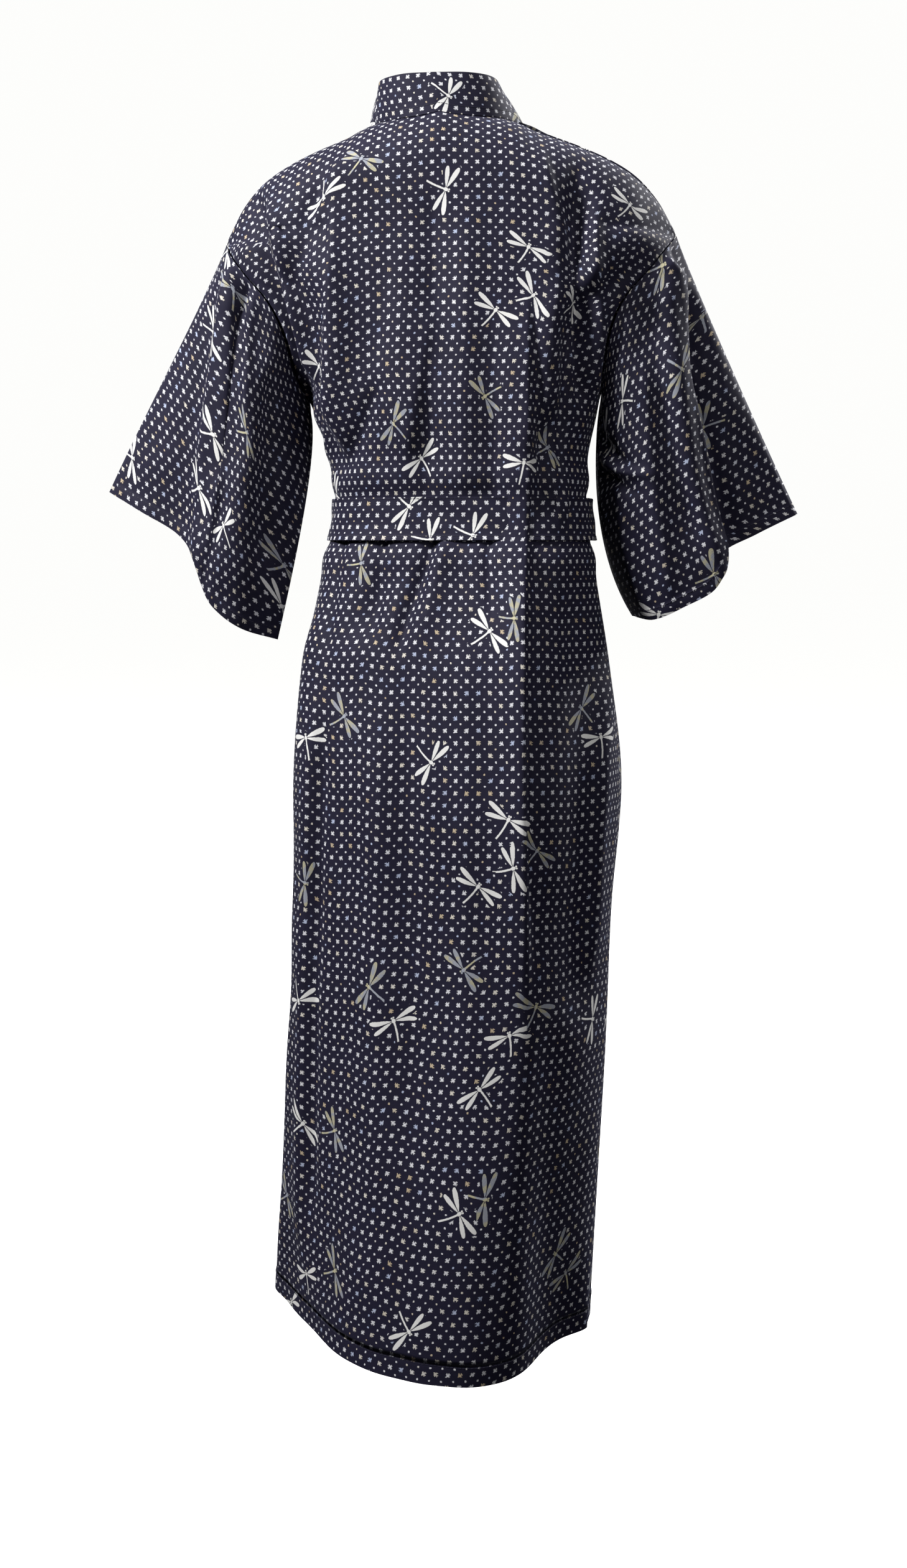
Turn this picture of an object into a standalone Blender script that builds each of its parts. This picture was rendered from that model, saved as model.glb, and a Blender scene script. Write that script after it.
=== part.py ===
"""A cotton kimono robe in the hollow shape it has when worn, as named cloth panels.

Metres, +Z up. The wearer faces -Y and the wearer's left is +X. The origin is the middle of the
back neck seam, where the robe hangs on the shoulders.
"""
import math
from collections import namedtuple

import bmesh
import bpy
from mathutils import Vector

# Cloth
WALL = 0.0016
BAND_WALL = 0.0022
SEAM_GAP = 0.0003
LAYER = 0.0032

# Heights
HEM_Z = -1.392
ARMPIT_Z = -0.335
SLEEVE_TOP_Z = -0.137
YOKE_Z = -0.185
BELT_TOP_Z = -0.4455
BELT_BOTTOM_Z = -0.4945
BAND_END_Z = -0.720

# Neck and shoulder
NECK_HALF_WIDTH = 0.085
NECK_DEPTH = 0.070
SHOULDER_ROUNDING = 0.080
FRONT_FLATNESS = 0.30

# Mesh density
BACK_COLUMNS = 32
FRONT_COLUMNS = 14
OVERLAP_COLUMNS = 6
SLEEVE_ALONG = 12

CLOTH_COLOUR = (0.016, 0.015, 0.030, 1.0)
CLOTH_ROUGHNESS = 0.85

# Rows of the body cloth's mesh below its yoke: each band's lower edge and its number of rows.
YOKE_ROWS = 7
Rows = namedtuple("Rows", "bottom_z count")
ROW_BANDS = (
    Rows(ARMPIT_Z, 5),
    Rows(BELT_TOP_Z + 0.004, 3),
    Rows(BELT_BOTTOM_Z - 0.004, 2),
    Rows(-0.700, 5),
    Rows(HEM_Z, 9),
)

# Plan sections of the body cloth, from the shoulders down. edge_y and edge_angle open the
# section at its sides, where the sleeves are sewn on. turn is the twist of the pose, in degrees.
Section = namedtuple(
    "Section", "z half_width back front flatness centre_x centre_y turn edge_y edge_angle"
)
BODY = (
    Section(0.040, 0.268, 0.092, 0.076, 0.30, 0.000, 0.000, 0, 0.000, 58),
    Section(SLEEVE_TOP_Z, 0.268, 0.101, 0.096, 0.30, -0.004, 0.000, 0, 0.000, 58),
    Section(-0.143, 0.265, 0.101, 0.097, 0.30, -0.004, 0.000, 0, 0.015, 58),
    Section(-0.154, 0.258, 0.102, 0.099, 0.30, -0.004, 0.000, 0, 0.028, 57),
    Section(-0.180, 0.238, 0.104, 0.103, 0.30, -0.005, 0.000, 0, 0.043, 56),
    Section(-0.215, 0.208, 0.107, 0.109, 0.30, -0.006, 0.000, -1, 0.053, 56),
    Section(-0.250, 0.191, 0.110, 0.114, 0.30, -0.007, 0.000, -2, 0.050, 62),
    Section(-0.300, 0.181, 0.112, 0.117, 0.30, -0.008, 0.000, -4, 0.030, 76),
    Section(ARMPIT_Z, 0.172, 0.112, 0.116, 0.30, -0.010, 0.000, -5, 0.000, 90),
    Section(-0.400, 0.152, 0.110, 0.110, 0.30, -0.018, -0.004, -8, 0.000, 90),
    Section(-0.470, 0.152, 0.108, 0.106, 0.30, -0.020, -0.004, -10, 0.000, 90),
    Section(-0.540, 0.165, 0.120, 0.112, 0.35, -0.018, 0.000, -12, 0.000, 90),
    Section(-0.640, 0.180, 0.142, 0.122, 0.40, -0.018, 0.004, -13, 0.000, 90),
    Section(-0.770, 0.190, 0.154, 0.130, 0.40, -0.021, 0.006, -13, 0.000, 90),
    Section(-0.920, 0.184, 0.154, 0.134, 0.35, -0.016, 0.006, -13, 0.000, 90),
    Section(-1.080, 0.186, 0.156, 0.138, 0.15, -0.007, 0.008, -13, 0.000, 90),
    Section(-1.240, 0.189, 0.160, 0.142, -0.25, 0.006, 0.010, -13, 0.000, 90),
    Section(HEM_Z - 0.01, 0.194, 0.164, 0.146, -0.75, 0.021, 0.012, -13, 0.000, 90),
)

# Shoulder ridge: its height over each distance from the middle.
Ridge = namedtuple("Ridge", "x z")
SHOULDER = (
    Ridge(0.000, 0.022),
    Ridge(0.085, -0.003),
    Ridge(0.110, -0.015),
    Ridge(0.150, -0.030),
    Ridge(0.192, -0.049),
    Ridge(0.222, -0.069),
    Ridge(0.246, -0.096),
    Ridge(0.262, -0.124),
    Ridge(0.280, -0.160),
)

# Largest folds of the body cloth. across is -1 at the wearer's right seam and 1 at the left one,
# rise is outward, width is in the same unit as across, and fade is the length of the fold's ends.
Fold = namedtuple("Fold", "side across_top across_bottom z_top z_bottom fade rise width")
FOLDS = (
    Fold(1, -0.90, -0.50, -0.160, -0.430, 0.070, -0.010, 0.11),
    Fold(1, -0.72, -0.40, -0.130, -0.430, 0.070, 0.007, 0.09),
    Fold(1, 0.78, 0.62, -0.140, -0.430, 0.070, -0.009, 0.10),
    Fold(1, 0.56, 0.50, -0.060, -0.430, 0.070, 0.006, 0.09),
    Fold(1, 0.20, 0.14, -0.120, -0.430, 0.070, 0.005, 0.10),
    Fold(1, -0.46, -0.44, -0.510, -1.500, 0.070, 0.007, 0.09),
    Fold(1, -0.72, -0.74, -0.520, -1.050, 0.070, -0.008, 0.11),
    Fold(1, 0.62, 0.72, -0.560, -1.500, 0.070, 0.007, 0.10),
    Fold(1, 0.08, 0.42, -0.490, -0.640, 0.070, -0.006, 0.09),
    Fold(1, 0.36, 0.30, -0.600, -1.500, 0.070, -0.006, 0.16),
    Fold(1, -0.34, -0.28, -0.900, -1.900, 0.480, 0.038, 0.22),
    Fold(-1, 0.60, 0.45, -0.180, -0.430, 0.070, -0.007, 0.12),
    Fold(-1, -0.60, -0.45, -0.180, -0.430, 0.070, -0.007, 0.12),
    Fold(-1, 0.50, 0.55, -0.510, -1.500, 0.070, 0.007, 0.12),
    Fold(-1, 0.12, 0.16, -0.520, -1.500, 0.070, -0.006, 0.14),
    Fold(-1, -0.62, -0.58, -0.510, -1.500, 0.070, 0.007, 0.12),
)

# Free front edge of the outer (left) front, and the band's seam beside it. The right front mirrors it.
FrontEdge = namedtuple("FrontEdge", "z free seam panel")
FRONT_EDGE = (
    FrontEdge(0.010, 0.068, 0.088, 0.086),
    FrontEdge(-0.030, 0.058, 0.097, 0.091),
    FrontEdge(-0.065, 0.040, 0.090, 0.078),
    FrontEdge(-0.100, 0.018, 0.072, 0.044),
    FrontEdge(-0.140, -0.003, 0.050, 0.012),
    FrontEdge(-0.270, -0.050, 0.002, -0.046),
    FrontEdge(-0.420, -0.086, -0.035, -0.082),
    FrontEdge(-0.550, -0.108, -0.058, -0.104),
    FrontEdge(-0.720, -0.119, -0.069, -0.115),
    FrontEdge(HEM_Z - 0.01, -0.124, -0.074, -0.124),
)
OVERLAP_SEAM_X = 0.012
OVERLAP_SEAM_RUN = 0.200

# How far the right front's layers lie inside the left front's.
INNER_INSET = 2.2 * LAYER
INSET_RUN = 0.080

# Standing part of the neckband, from the back middle round to a front: the distance of its seam
# from the middle and below the shoulder ridge, and its free edge.
Collar = namedtuple("Collar", "step seam_x drop free_x free_y free_z")
COLLAR = (
    Collar(0, 0.000, 0.0, 0.000, 0.064, 0.044),
    Collar(1, 0.040, 0.0, 0.036, 0.055, 0.043),
    Collar(2, 0.070, 0.0, 0.061, 0.028, 0.039),
    Collar(3, 0.089, 0.0, 0.067, 0.000, 0.031),
    Collar(4, 0.096, 0.018, 0.065, -0.028, 0.018),
    Collar(5, 0.098, 0.040, 0.058, -0.054, 0.000),
)
RIDGE_STEP = 3
LAST_STEP = 26
BAND_LAP = 0.006
BAND_LIFT_STEP = 4.2
BAND_RIDGE_LIFT = 0.0025
BAND_SLANT = 0.038
BAND_COLUMNS = 88
BAND_ACROSS = 4

# Cuff edges, from the outer fold of the sleeve to its inner fold.
Cuff = namedtuple("Cuff", "share x z back_y front_y")
CUFF_LEFT = (
    Cuff(0.00, 0.414, -0.435, -0.012, -0.012),
    Cuff(0.16, 0.362, -0.463, 0.008, -0.030),
    Cuff(0.30, 0.318, -0.488, 0.020, -0.042),
    Cuff(0.42, 0.291, -0.514, 0.035, -0.048),
    Cuff(0.54, 0.283, -0.545, 0.047, -0.052),
    Cuff(0.68, 0.270, -0.571, 0.053, -0.052),
    Cuff(0.84, 0.238, -0.597, 0.044, -0.044),
    Cuff(1.00, 0.202, -0.613, 0.002, 0.002),
)
CUFF_RIGHT = (
    Cuff(0.00, 0.416, -0.463, -0.036, -0.036),
    Cuff(0.18, 0.368, -0.486, -0.012, -0.056),
    Cuff(0.34, 0.330, -0.509, 0.004, -0.068),
    Cuff(0.46, 0.325, -0.533, 0.020, -0.076),
    Cuff(0.60, 0.312, -0.553, 0.032, -0.080),
    Cuff(0.76, 0.280, -0.570, 0.040, -0.078),
    Cuff(0.90, 0.246, -0.585, 0.028, -0.066),
    Cuff(1.00, 0.222, -0.583, -0.014, -0.014),
)
SleeveFold = namedtuple("SleeveFold", "side share_top share_cuff start end rise width")
SLEEVE_FOLDS = (
    SleeveFold(1, 0.40, 0.46, 0.10, 1.30, 0.007, 0.08),
    SleeveFold(1, 0.62, 0.58, 0.15, 0.90, -0.006, 0.08),
    SleeveFold(1, 0.22, 0.24, 0.20, 1.30, -0.005, 0.10),
    SleeveFold(-1, 0.45, 0.50, 0.10, 1.30, 0.006, 0.10),
    SleeveFold(-1, 0.70, 0.66, 0.15, 0.90, -0.005, 0.09),
)
SLEEVE_FADE = 0.15
# How far each sleeve's inner fold leans outward at the cuff.
INNER_LEAN_LEFT = 0.22
INNER_LEAN_RIGHT = 0.60
LEAVE_PULL = 0.120
ARRIVE_PULL = 0.300
SHOULDER_SLOPE = Vector((0.50, 0.0, -0.87))
SLEEVE_BULGE = 0.016
SLEEVE_GAP = 0.0010
ARMPIT_CLEARANCE = 0.0025

# Belt
BELT_WALL = 0.0020
BELT_OUT_BACK = 0.0040
BELT_OUT_FRONT = 0.0076
BELT_COLUMNS = 72
KNOT_X = 0.035
KNOT_SIZE = (0.044, 0.026, 0.054)
KNOT_SEAT = -0.0002
BELT_END_WIDTH = 0.046
BeltEnd = namedtuple("BeltEnd", "name length lean lift top_lift")
BELT_ENDS = (
    BeltEnd("belt_end_left", 0.300, 0.070, 0.010, 0.018),
    BeltEnd("belt_end_right", 0.270, -0.060, 0.014, 0.025),
)


def along(table, at, column):
    """Value of a table's column at a place given in its first column, smooth between its rows."""
    rows = table if table[0][0] < table[-1][0] else table[::-1]
    at = min(max(at, rows[0][0]), rows[-1][0])
    i = max(k for k in range(len(rows) - 1) if k == 0 or rows[k][0] <= at)
    keys = [row[0] for row in rows]
    values = [getattr(row, column) for row in rows]

    def slope(k):
        low = max(k - 1, 0)
        high = min(k + 1, len(rows) - 1)
        return (values[high] - values[low]) / (keys[high] - keys[low])

    span = keys[i + 1] - keys[i]
    t = (at - keys[i]) / span
    return (
        values[i] * (1 + 2 * t) * (1 - t) ** 2
        + slope(i) * span * t * (1 - t) ** 2
        + values[i + 1] * t * t * (3 - 2 * t)
        + slope(i + 1) * span * t * t * (t - 1)
    )


def ease(t):
    t = min(max(t, 0.0), 1.0)
    return t * t * (3 - 2 * t)


def mix(a, b, t):
    return a + (b - a) * t


def bow(angle, flatness):
    """Depth of the body's plan section at an angle from its middle: a circle's where flatness is 0."""
    return math.cos(angle) * (1 + flatness * math.sin(angle) ** 2)


def shoulder_round(x, z):
    """1 well below the shoulder ridge and 0 on it, along a quarter ellipse."""
    below = (along(SHOULDER, abs(x), "z") - z) / SHOULDER_ROUNDING
    below = min(max(below, 0.0), 1.0)
    return math.sqrt(1 - (1 - below) ** 2)


def smooth_torso(across, z, side):
    """Point on the body cloth before its folds. across is -1 to 1 between the side edges."""
    edge = math.radians(along(BODY, z, "edge_angle"))
    angle = across * edge
    x = along(BODY, z, "half_width") * math.sin(angle) / math.sin(edge)
    edge_y = along(BODY, z, "edge_y")
    depth = along(BODY, z, "back" if side > 0 else "front")
    flatness = along(BODY, z, "flatness") if side > 0 else FRONT_FLATNESS
    reach = (bow(angle, flatness) - bow(edge, flatness)) / (1 - bow(edge, flatness))
    y = side * (edge_y + (depth - edge_y) * reach) * shoulder_round(x, z)
    turn = math.radians(along(BODY, z, "turn"))
    return Vector((
        x * math.cos(turn) - y * math.sin(turn) + along(BODY, z, "centre_x"),
        x * math.sin(turn) + y * math.cos(turn) + along(BODY, z, "centre_y"),
        z,
    ))


def outward(across, z, side):
    here = smooth_torso(across, z, side)
    down = smooth_torso(across, z - 0.002, side)
    beside = smooth_torso(across + 0.01, z, side) - smooth_torso(across - 0.01, z, side)
    return (here - down).cross(beside).normalized() * side


def fold_rise(across, z, side):
    total = 0.0
    for fold in FOLDS:
        if fold.side != side or not fold.z_bottom < z < fold.z_top:
            continue
        share = (fold.z_top - z) / (fold.z_top - fold.z_bottom)
        offset = (across - mix(fold.across_top, fold.across_bottom, share)) / fold.width
        ends = ease((fold.z_top - z) / fold.fade) * ease((z - fold.z_bottom) / fold.fade)
        total += fold.rise * math.exp(-offset * offset) * ends
    return total * ease((1 - abs(across)) / 0.12)


def torso(across, z, side, out=0.0):
    """Middle of the cloth wall, half a wall and half a seam gap off the plane between back and front."""
    normal = outward(across, z - 0.004, side)
    seat = side * (SEAM_GAP + WALL * abs(normal.y)) / 2
    rise = out + fold_rise(across, z, side)
    return smooth_torso(across, z, side) + outward(across, z, side) * rise + Vector((0, seat, 0))


def across_at(x, z):
    """The place across the body cloth at a distance x from its middle line, before the twist."""
    edge = math.radians(along(BODY, z, "edge_angle"))
    ratio = x * math.sin(edge) / along(BODY, z, "half_width")
    return math.asin(min(max(ratio, -1.0), 1.0)) / edge


def neck_edge_z(x):
    """Height of the back neck edge, where the round neck hole cuts the body cloth."""
    share = min(abs(x) / NECK_HALF_WIDTH, 1.0)
    depth = NECK_DEPTH * math.sqrt(1 - share * share)
    full_depth = smooth_torso(across_at(x, 0.0), along(SHOULDER, abs(x), "z") - SHOULDER_ROUNDING, 1).y
    rounding = min(depth / full_depth, 1.0)
    return along(SHOULDER, abs(x), "z") - SHOULDER_ROUNDING * (1 - math.sqrt(1 - rounding ** 2))


def back_top_z(x):
    if abs(x) < NECK_HALF_WIDTH:
        return neck_edge_z(x)
    return along(SHOULDER, abs(x), "z")


def row_heights():
    heights = [YOKE_Z]
    for band in ROW_BANDS:
        start = heights[-1]
        heights += [mix(start, band.bottom_z, (k + 1) / band.count) for k in range(band.count)]
    return heights


BODY_HEIGHTS = row_heights()
BODY_ROWS = len(BODY_HEIGHTS) - 1
SEWN_ROWS = YOKE_ROWS + ROW_BANDS[0].count


def panel_z(top, row):
    """Height of a row: the yoke rows spread from the top edge, the rest are level."""
    if row < YOKE_ROWS:
        return mix(top, YOKE_Z, (row / YOKE_ROWS) ** 1.2)
    return BODY_HEIGHTS[row - YOKE_ROWS]


def sheet(name, columns, rows, place, wall=WALL, wrap=False):
    """A cloth panel: a grid put in place point by point, then given its thickness."""
    bm = bmesh.new()
    bmesh.ops.create_grid(bm, x_segments=columns, y_segments=rows, size=0.5)
    for vertex in bm.verts:
        vertex.co = place(vertex.co.x + 0.5, vertex.co.y + 0.5)
    if wrap:
        bmesh.ops.remove_doubles(bm, verts=bm.verts, dist=0.00001)
    mesh = bpy.data.meshes.new(name)
    bm.to_mesh(mesh)
    bm.free()
    panel = bpy.data.objects.new(name, mesh)
    robe.objects.link(panel)
    thickness = panel.modifiers.new("Thickness", "SOLIDIFY")
    thickness.thickness = wall
    thickness.offset = 0.0
    panel.data.materials.append(cloth_material(name))
    return panel


def cloth_material(name):
    material = bpy.data.materials.new(name + "_cloth")
    material.use_nodes = True
    shader = material.node_tree.nodes["Principled BSDF"]
    shader.inputs["Base Color"].default_value = CLOTH_COLOUR
    shader.inputs["Roughness"].default_value = CLOTH_ROUGHNESS
    return material


def make_back():
    def place(u, v):
        across = mix(-1, 1, u)
        row = round((1 - v) * (YOKE_ROWS + BODY_ROWS))
        edge = math.radians(BODY[0].edge_angle)
        x = BODY[0].half_width * math.sin(across * edge) / math.sin(edge)
        z = panel_z(max(back_top_z(x), SLEEVE_TOP_Z), row)
        return torso(across, z, 1)

    sheet("back", BACK_COLUMNS, YOKE_ROWS + BODY_ROWS, place)


def inner_inset(x, z):
    """How deep the right front's cloth lies at x, so that it passes under the left front."""
    edge = along(FRONT_EDGE, z, "free")
    return -INNER_INSET * ease((x - edge + INSET_RUN + 0.012) / INSET_RUN)


def front_point(x, z, hand, out=0.0):
    """Point of a front's cloth at a distance x from the middle, seen on the left hand's front."""
    side_x = hand * x
    inset = inner_inset(side_x, z) if hand < 0 else 0.0
    return torso(across_at(side_x, z), z, -1, out + inset)


def overlap_seam_x(z):
    """Where the overlap panel is sewn to the front, leaning out from the neck edge."""
    return OVERLAP_SEAM_X * ease((YOKE_Z - z) / OVERLAP_SEAM_RUN)


def make_front(hand, name):
    """The body front, from its side seam to the neck edge and, below that, the overlap seam."""

    def place(u, v):
        row = round((1 - v) * (YOKE_ROWS + BODY_ROWS))
        ridge_x = mix(along(BODY, 0.0, "half_width"), NECK_HALF_WIDTH + 0.001, u)
        z = panel_z(max(along(SHOULDER, ridge_x, "z"), SLEEVE_TOP_Z), row)
        side_z = panel_z(SLEEVE_TOP_Z, row)
        neck_z = panel_z(along(SHOULDER, NECK_HALF_WIDTH, "z"), row)
        inner = along(FRONT_EDGE, neck_z, "panel") if row < YOKE_ROWS else overlap_seam_x(neck_z)
        return front_point(mix(along(BODY, side_z, "half_width"), inner, u), z, hand)

    sheet(name, FRONT_COLUMNS, YOKE_ROWS + BODY_ROWS, place)


def make_overlap(hand, name):
    """The tapered panel between a front and its free edge."""

    def place(u, v):
        z = panel_z(0.0, YOKE_ROWS + round((1 - v) * BODY_ROWS))
        x = mix(overlap_seam_x(z) - SEAM_GAP, along(FRONT_EDGE, z, "panel"), u)
        return front_point(x, z, hand)

    sheet(name, OVERLAP_COLUMNS, BODY_ROWS, place)


def make_sleeve(hand, name, cuff, inner_lean):
    """A sleeve from the body cloth's side edges to its open cuff."""

    def place(u, v):
        turn = round(u * 2 * SEWN_ROWS)
        row = min(turn, 2 * SEWN_ROWS - turn)
        side = -1 if turn > SEWN_ROWS and row > 0 else 1
        share = row / SEWN_ROWS
        z = panel_z(SLEEVE_TOP_Z, row)
        opened = math.sqrt(math.sin(math.pi * share)) if 0 < row < SEWN_ROWS else 0.0
        seam = torso(hand, z, side)
        out = (seam - torso(hand * 0.97, z, side)).normalized()
        down = (torso(hand, z - 0.004, side) - seam).normalized()
        if row in (0, SEWN_ROWS):
            seam.y = 0.0
        out.y *= opened
        down.y *= opened
        out = SHOULDER_SLOPE.lerp(out, ease(share * 3))
        out.x = hand * abs(out.x)
        start = seam + out * SLEEVE_GAP + Vector((hand * ARMPIT_CLEARANCE * ease(share * 3 - 1.6), 0, 0))
        y = along(cuff, share, "back_y" if side > 0 else "front_y")
        end = Vector((hand * along(cuff, share, "x"), y, along(cuff, share, "z")))
        leave = (out * (1 - share * 0.8) + down * (0.5 + 0.5 * share)).normalized()
        arrive = Vector((hand * mix(0.44, inner_lean, share), 0, -0.95)).normalized()
        point = hermite(start, leave * LEAVE_PULL, end, arrive * ARRIVE_PULL, v)
        bulge = SLEEVE_BULGE * opened * math.sin(math.pi * v)
        return point + Vector((0, side * (bulge + sleeve_fold(share, v, side)), 0))

    sheet(name, 2 * SEWN_ROWS, SLEEVE_ALONG, place, wrap=True)


def sleeve_fold(share, v, side):
    total = 0.0
    for fold in SLEEVE_FOLDS:
        if fold.side != side or not fold.start < v < fold.end:
            continue
        offset = (share - mix(fold.share_top, fold.share_cuff, v)) / fold.width
        ends = ease((v - fold.start) / SLEEVE_FADE) * ease((fold.end - v) / SLEEVE_FADE)
        total += fold.rise * math.exp(-offset * offset) * ends
    return total * math.sin(math.pi * share)


def hermite(start, leave, end, arrive, t):
    return (
        start * ((1 + 2 * t) * (1 - t) ** 2)
        + leave * (t * (1 - t) ** 2)
        + end * (t * t * (3 - 2 * t))
        + arrive * (t * t * (t - 1))
    )


def band_point(step, v, hand):
    """Point of the neckband at a step from the back middle: v is 0 on its seam and 1 on its free edge."""
    standing = min(step, COLLAR[-1].step)
    free = Vector([along(COLLAR, standing, name) for name in ("free_x", "free_y", "free_z")])
    free.x *= hand
    lift = LAYER + BAND_RIDGE_LIFT * ease(1 - abs(step - BAND_LIFT_STEP) / 3)
    if step <= RIDGE_STEP:
        x = along(COLLAR, step, "seam_x")
        z = neck_edge_z(x) - BAND_LAP * (1 - step / RIDGE_STEP)
        return torso(across_at(hand * x, z), z, 1, lift).lerp(free, v)
    share = max(step - COLLAR[-1].step, 0) / (LAST_STEP - COLLAR[-1].step)
    top = along(SHOULDER, COLLAR[-1].seam_x, "z") - along(COLLAR, standing, "drop")
    z = mix(top, BAND_END_Z, share)
    seam_x = along(FRONT_EDGE, z, "seam")
    stood = front_point(seam_x, z, hand, lift).lerp(free, v)
    free_z = z + BAND_SLANT * (1 - share) ** 2
    laid_x = mix(seam_x, along(FRONT_EDGE, free_z, "free"), v)
    laid = front_point(laid_x, mix(z, free_z, v), hand, LAYER)
    return stood.lerp(laid, ease(step - COLLAR[-1].step))


def make_neckband():
    def place(u, v):
        return band_point(abs(2 * u - 1) * LAST_STEP, v, 1 if u >= 0.5 else -1)

    sheet("neckband", BAND_COLUMNS, BAND_ACROSS, place, BAND_WALL)


def belt_out(across, side):
    """How far the belt lies off the body cloth, more where it crosses the fronts' bands."""
    if side > 0:
        return BELT_OUT_BACK
    return mix(BELT_OUT_BACK, BELT_OUT_FRONT, ease((0.95 - abs(across)) / 0.25))


def belt_point(turn, z):
    side = 1 if turn <= 0.5 else -1
    across = -1 + 4 * turn if side > 0 else 3 - 4 * turn
    level = (BELT_TOP_Z + BELT_BOTTOM_Z) / 2
    return smooth_torso(across, z, side) + outward(across, level, side) * belt_out(across, side)


def make_belt():
    sheet("belt", BELT_COLUMNS, 2, lambda u, v: belt_point(u, mix(BELT_BOTTOM_Z, BELT_TOP_Z, v)), BELT_WALL, wrap=True)


def make_knot():
    level = (BELT_TOP_Z + BELT_BOTTOM_Z) / 2
    out = BELT_OUT_FRONT + BELT_WALL / 2 + KNOT_SIZE[1] / 2 + KNOT_SEAT
    facing = outward(across_at(KNOT_X, level), level, -1)
    bpy.ops.mesh.primitive_cube_add(size=1.0, location=front_point(KNOT_X, level, 1, out))
    knot = bpy.context.object
    knot.name = "belt_knot"
    knot.data.name = "belt_knot"
    knot.scale = KNOT_SIZE
    knot.rotation_euler.z = math.atan2(facing.x, -facing.y)
    bpy.ops.object.transform_apply(location=False, rotation=False, scale=True)
    edges = knot.modifiers.new("Rounded", "BEVEL")
    edges.width = 0.010
    edges.segments = 3
    for owner in knot.users_collection:
        owner.objects.unlink(knot)
    robe.objects.link(knot)
    knot.data.materials.append(cloth_material("belt_knot"))


def make_belt_end(end):
    """One hanging end of the belt, out of the bottom of the knot."""
    top = (BELT_TOP_Z + BELT_BOTTOM_Z) / 2 - KNOT_SIZE[2] / 2 - SEAM_GAP

    def place(u, v):
        fall = 1 - v
        width = mix(0.65 * BELT_END_WIDTH, BELT_END_WIDTH, ease(fall * 4))
        x = KNOT_X + (u - 0.5) * width + end.lean * ease(fall * 1.4)
        z = top - fall * end.length
        point = front_point(x, z, 1, mix(end.top_lift, end.lift, ease(fall * 3)))
        return Vector((point.x, point.y, z))

    sheet(end.name, 4, 12, place, BELT_WALL)


for old in list(bpy.data.objects):
    bpy.data.objects.remove(old, do_unlink=True)
robe = bpy.data.collections.new("kimono_robe")
bpy.context.scene.collection.children.link(robe)

make_back()
make_front(1, "front_left")
make_front(-1, "front_right")
make_overlap(1, "overlap_left")
make_overlap(-1, "overlap_right")
make_sleeve(1, "sleeve_left", CUFF_LEFT, INNER_LEAN_LEFT)
make_sleeve(-1, "sleeve_right", CUFF_RIGHT, INNER_LEAN_RIGHT)
make_neckband()
make_belt()
make_knot()
for belt_end in BELT_ENDS:
    make_belt_end(belt_end)
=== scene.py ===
"""Looks of the cotton kimono robe: its cloth panels with their creases, print and stitched hems.

Metres, +Z up. The wearer faces -Y and the wearer's left is +X.
"""

import math
from collections import namedtuple

import bpy
import numpy as np
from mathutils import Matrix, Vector


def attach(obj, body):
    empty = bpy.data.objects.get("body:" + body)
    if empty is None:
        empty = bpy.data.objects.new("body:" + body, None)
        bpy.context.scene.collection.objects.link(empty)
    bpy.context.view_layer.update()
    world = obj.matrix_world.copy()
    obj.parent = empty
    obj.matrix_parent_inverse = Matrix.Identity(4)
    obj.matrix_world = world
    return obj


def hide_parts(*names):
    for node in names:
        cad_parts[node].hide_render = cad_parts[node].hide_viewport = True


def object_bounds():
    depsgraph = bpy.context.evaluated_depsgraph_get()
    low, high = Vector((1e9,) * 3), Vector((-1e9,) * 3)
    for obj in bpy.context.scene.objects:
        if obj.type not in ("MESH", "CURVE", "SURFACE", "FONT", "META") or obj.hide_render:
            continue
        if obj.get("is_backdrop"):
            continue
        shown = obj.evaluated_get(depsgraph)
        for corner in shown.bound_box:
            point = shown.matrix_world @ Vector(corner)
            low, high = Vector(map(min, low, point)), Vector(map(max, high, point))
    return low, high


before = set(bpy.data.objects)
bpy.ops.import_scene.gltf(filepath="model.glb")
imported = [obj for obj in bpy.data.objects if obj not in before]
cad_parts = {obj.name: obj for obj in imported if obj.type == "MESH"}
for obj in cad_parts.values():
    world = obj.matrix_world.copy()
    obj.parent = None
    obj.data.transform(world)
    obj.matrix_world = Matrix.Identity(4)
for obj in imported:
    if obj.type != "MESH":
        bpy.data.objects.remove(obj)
frame_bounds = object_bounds()


def table(columns, *rows):
    """Rows with named columns."""
    Row = namedtuple("Row", columns)
    return tuple(Row(*row) for row in rows)


# Walls and gaps. WALL, SEAM_GAP and LAYER are those of the CAD solids, whose form the shells follow.
WALL = 0.0016
SEAM_GAP = 0.0003
LAYER = 0.0032
CLOTH_WALL = 0.0010
FOLDED_WALL = 0.0018

# Heights
HEM_Z = -1.392
ARMPIT_Z = -0.335
SLEEVE_TOP_Z = -0.137
YOKE_Z = -0.185
BELT_TOP_Z = -0.4455
BELT_BOTTOM_Z = -0.4945
BELT_MIDDLE_Z = (BELT_TOP_Z + BELT_BOTTOM_Z) / 2
BAND_END_Z = -0.720

# Neck and shoulder: the hole under the neckband's seam, and the hole of the cloth, which reaches further in
NECK_HALF_WIDTH = 0.080
NECK_DEPTH = 0.0655
NECK_CLOTH_HALF_WIDTH = 0.071
NECK_CLOTH_DEPTH = 0.054
SHOULDER_ROUNDING = 0.080
FRONT_FLATNESS = 0.30

# Rows of the body cloth below its yoke: each band's lower edge and its number of rows
YOKE_ROWS = 7
ROW_BANDS = table(
    "bottom_z count",
    (ARMPIT_Z, 5),
    (BELT_TOP_Z + 0.004, 3),
    (BELT_BOTTOM_Z - 0.004, 2),
    (-0.700, 5),
    (HEM_Z, 9),
)

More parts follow.
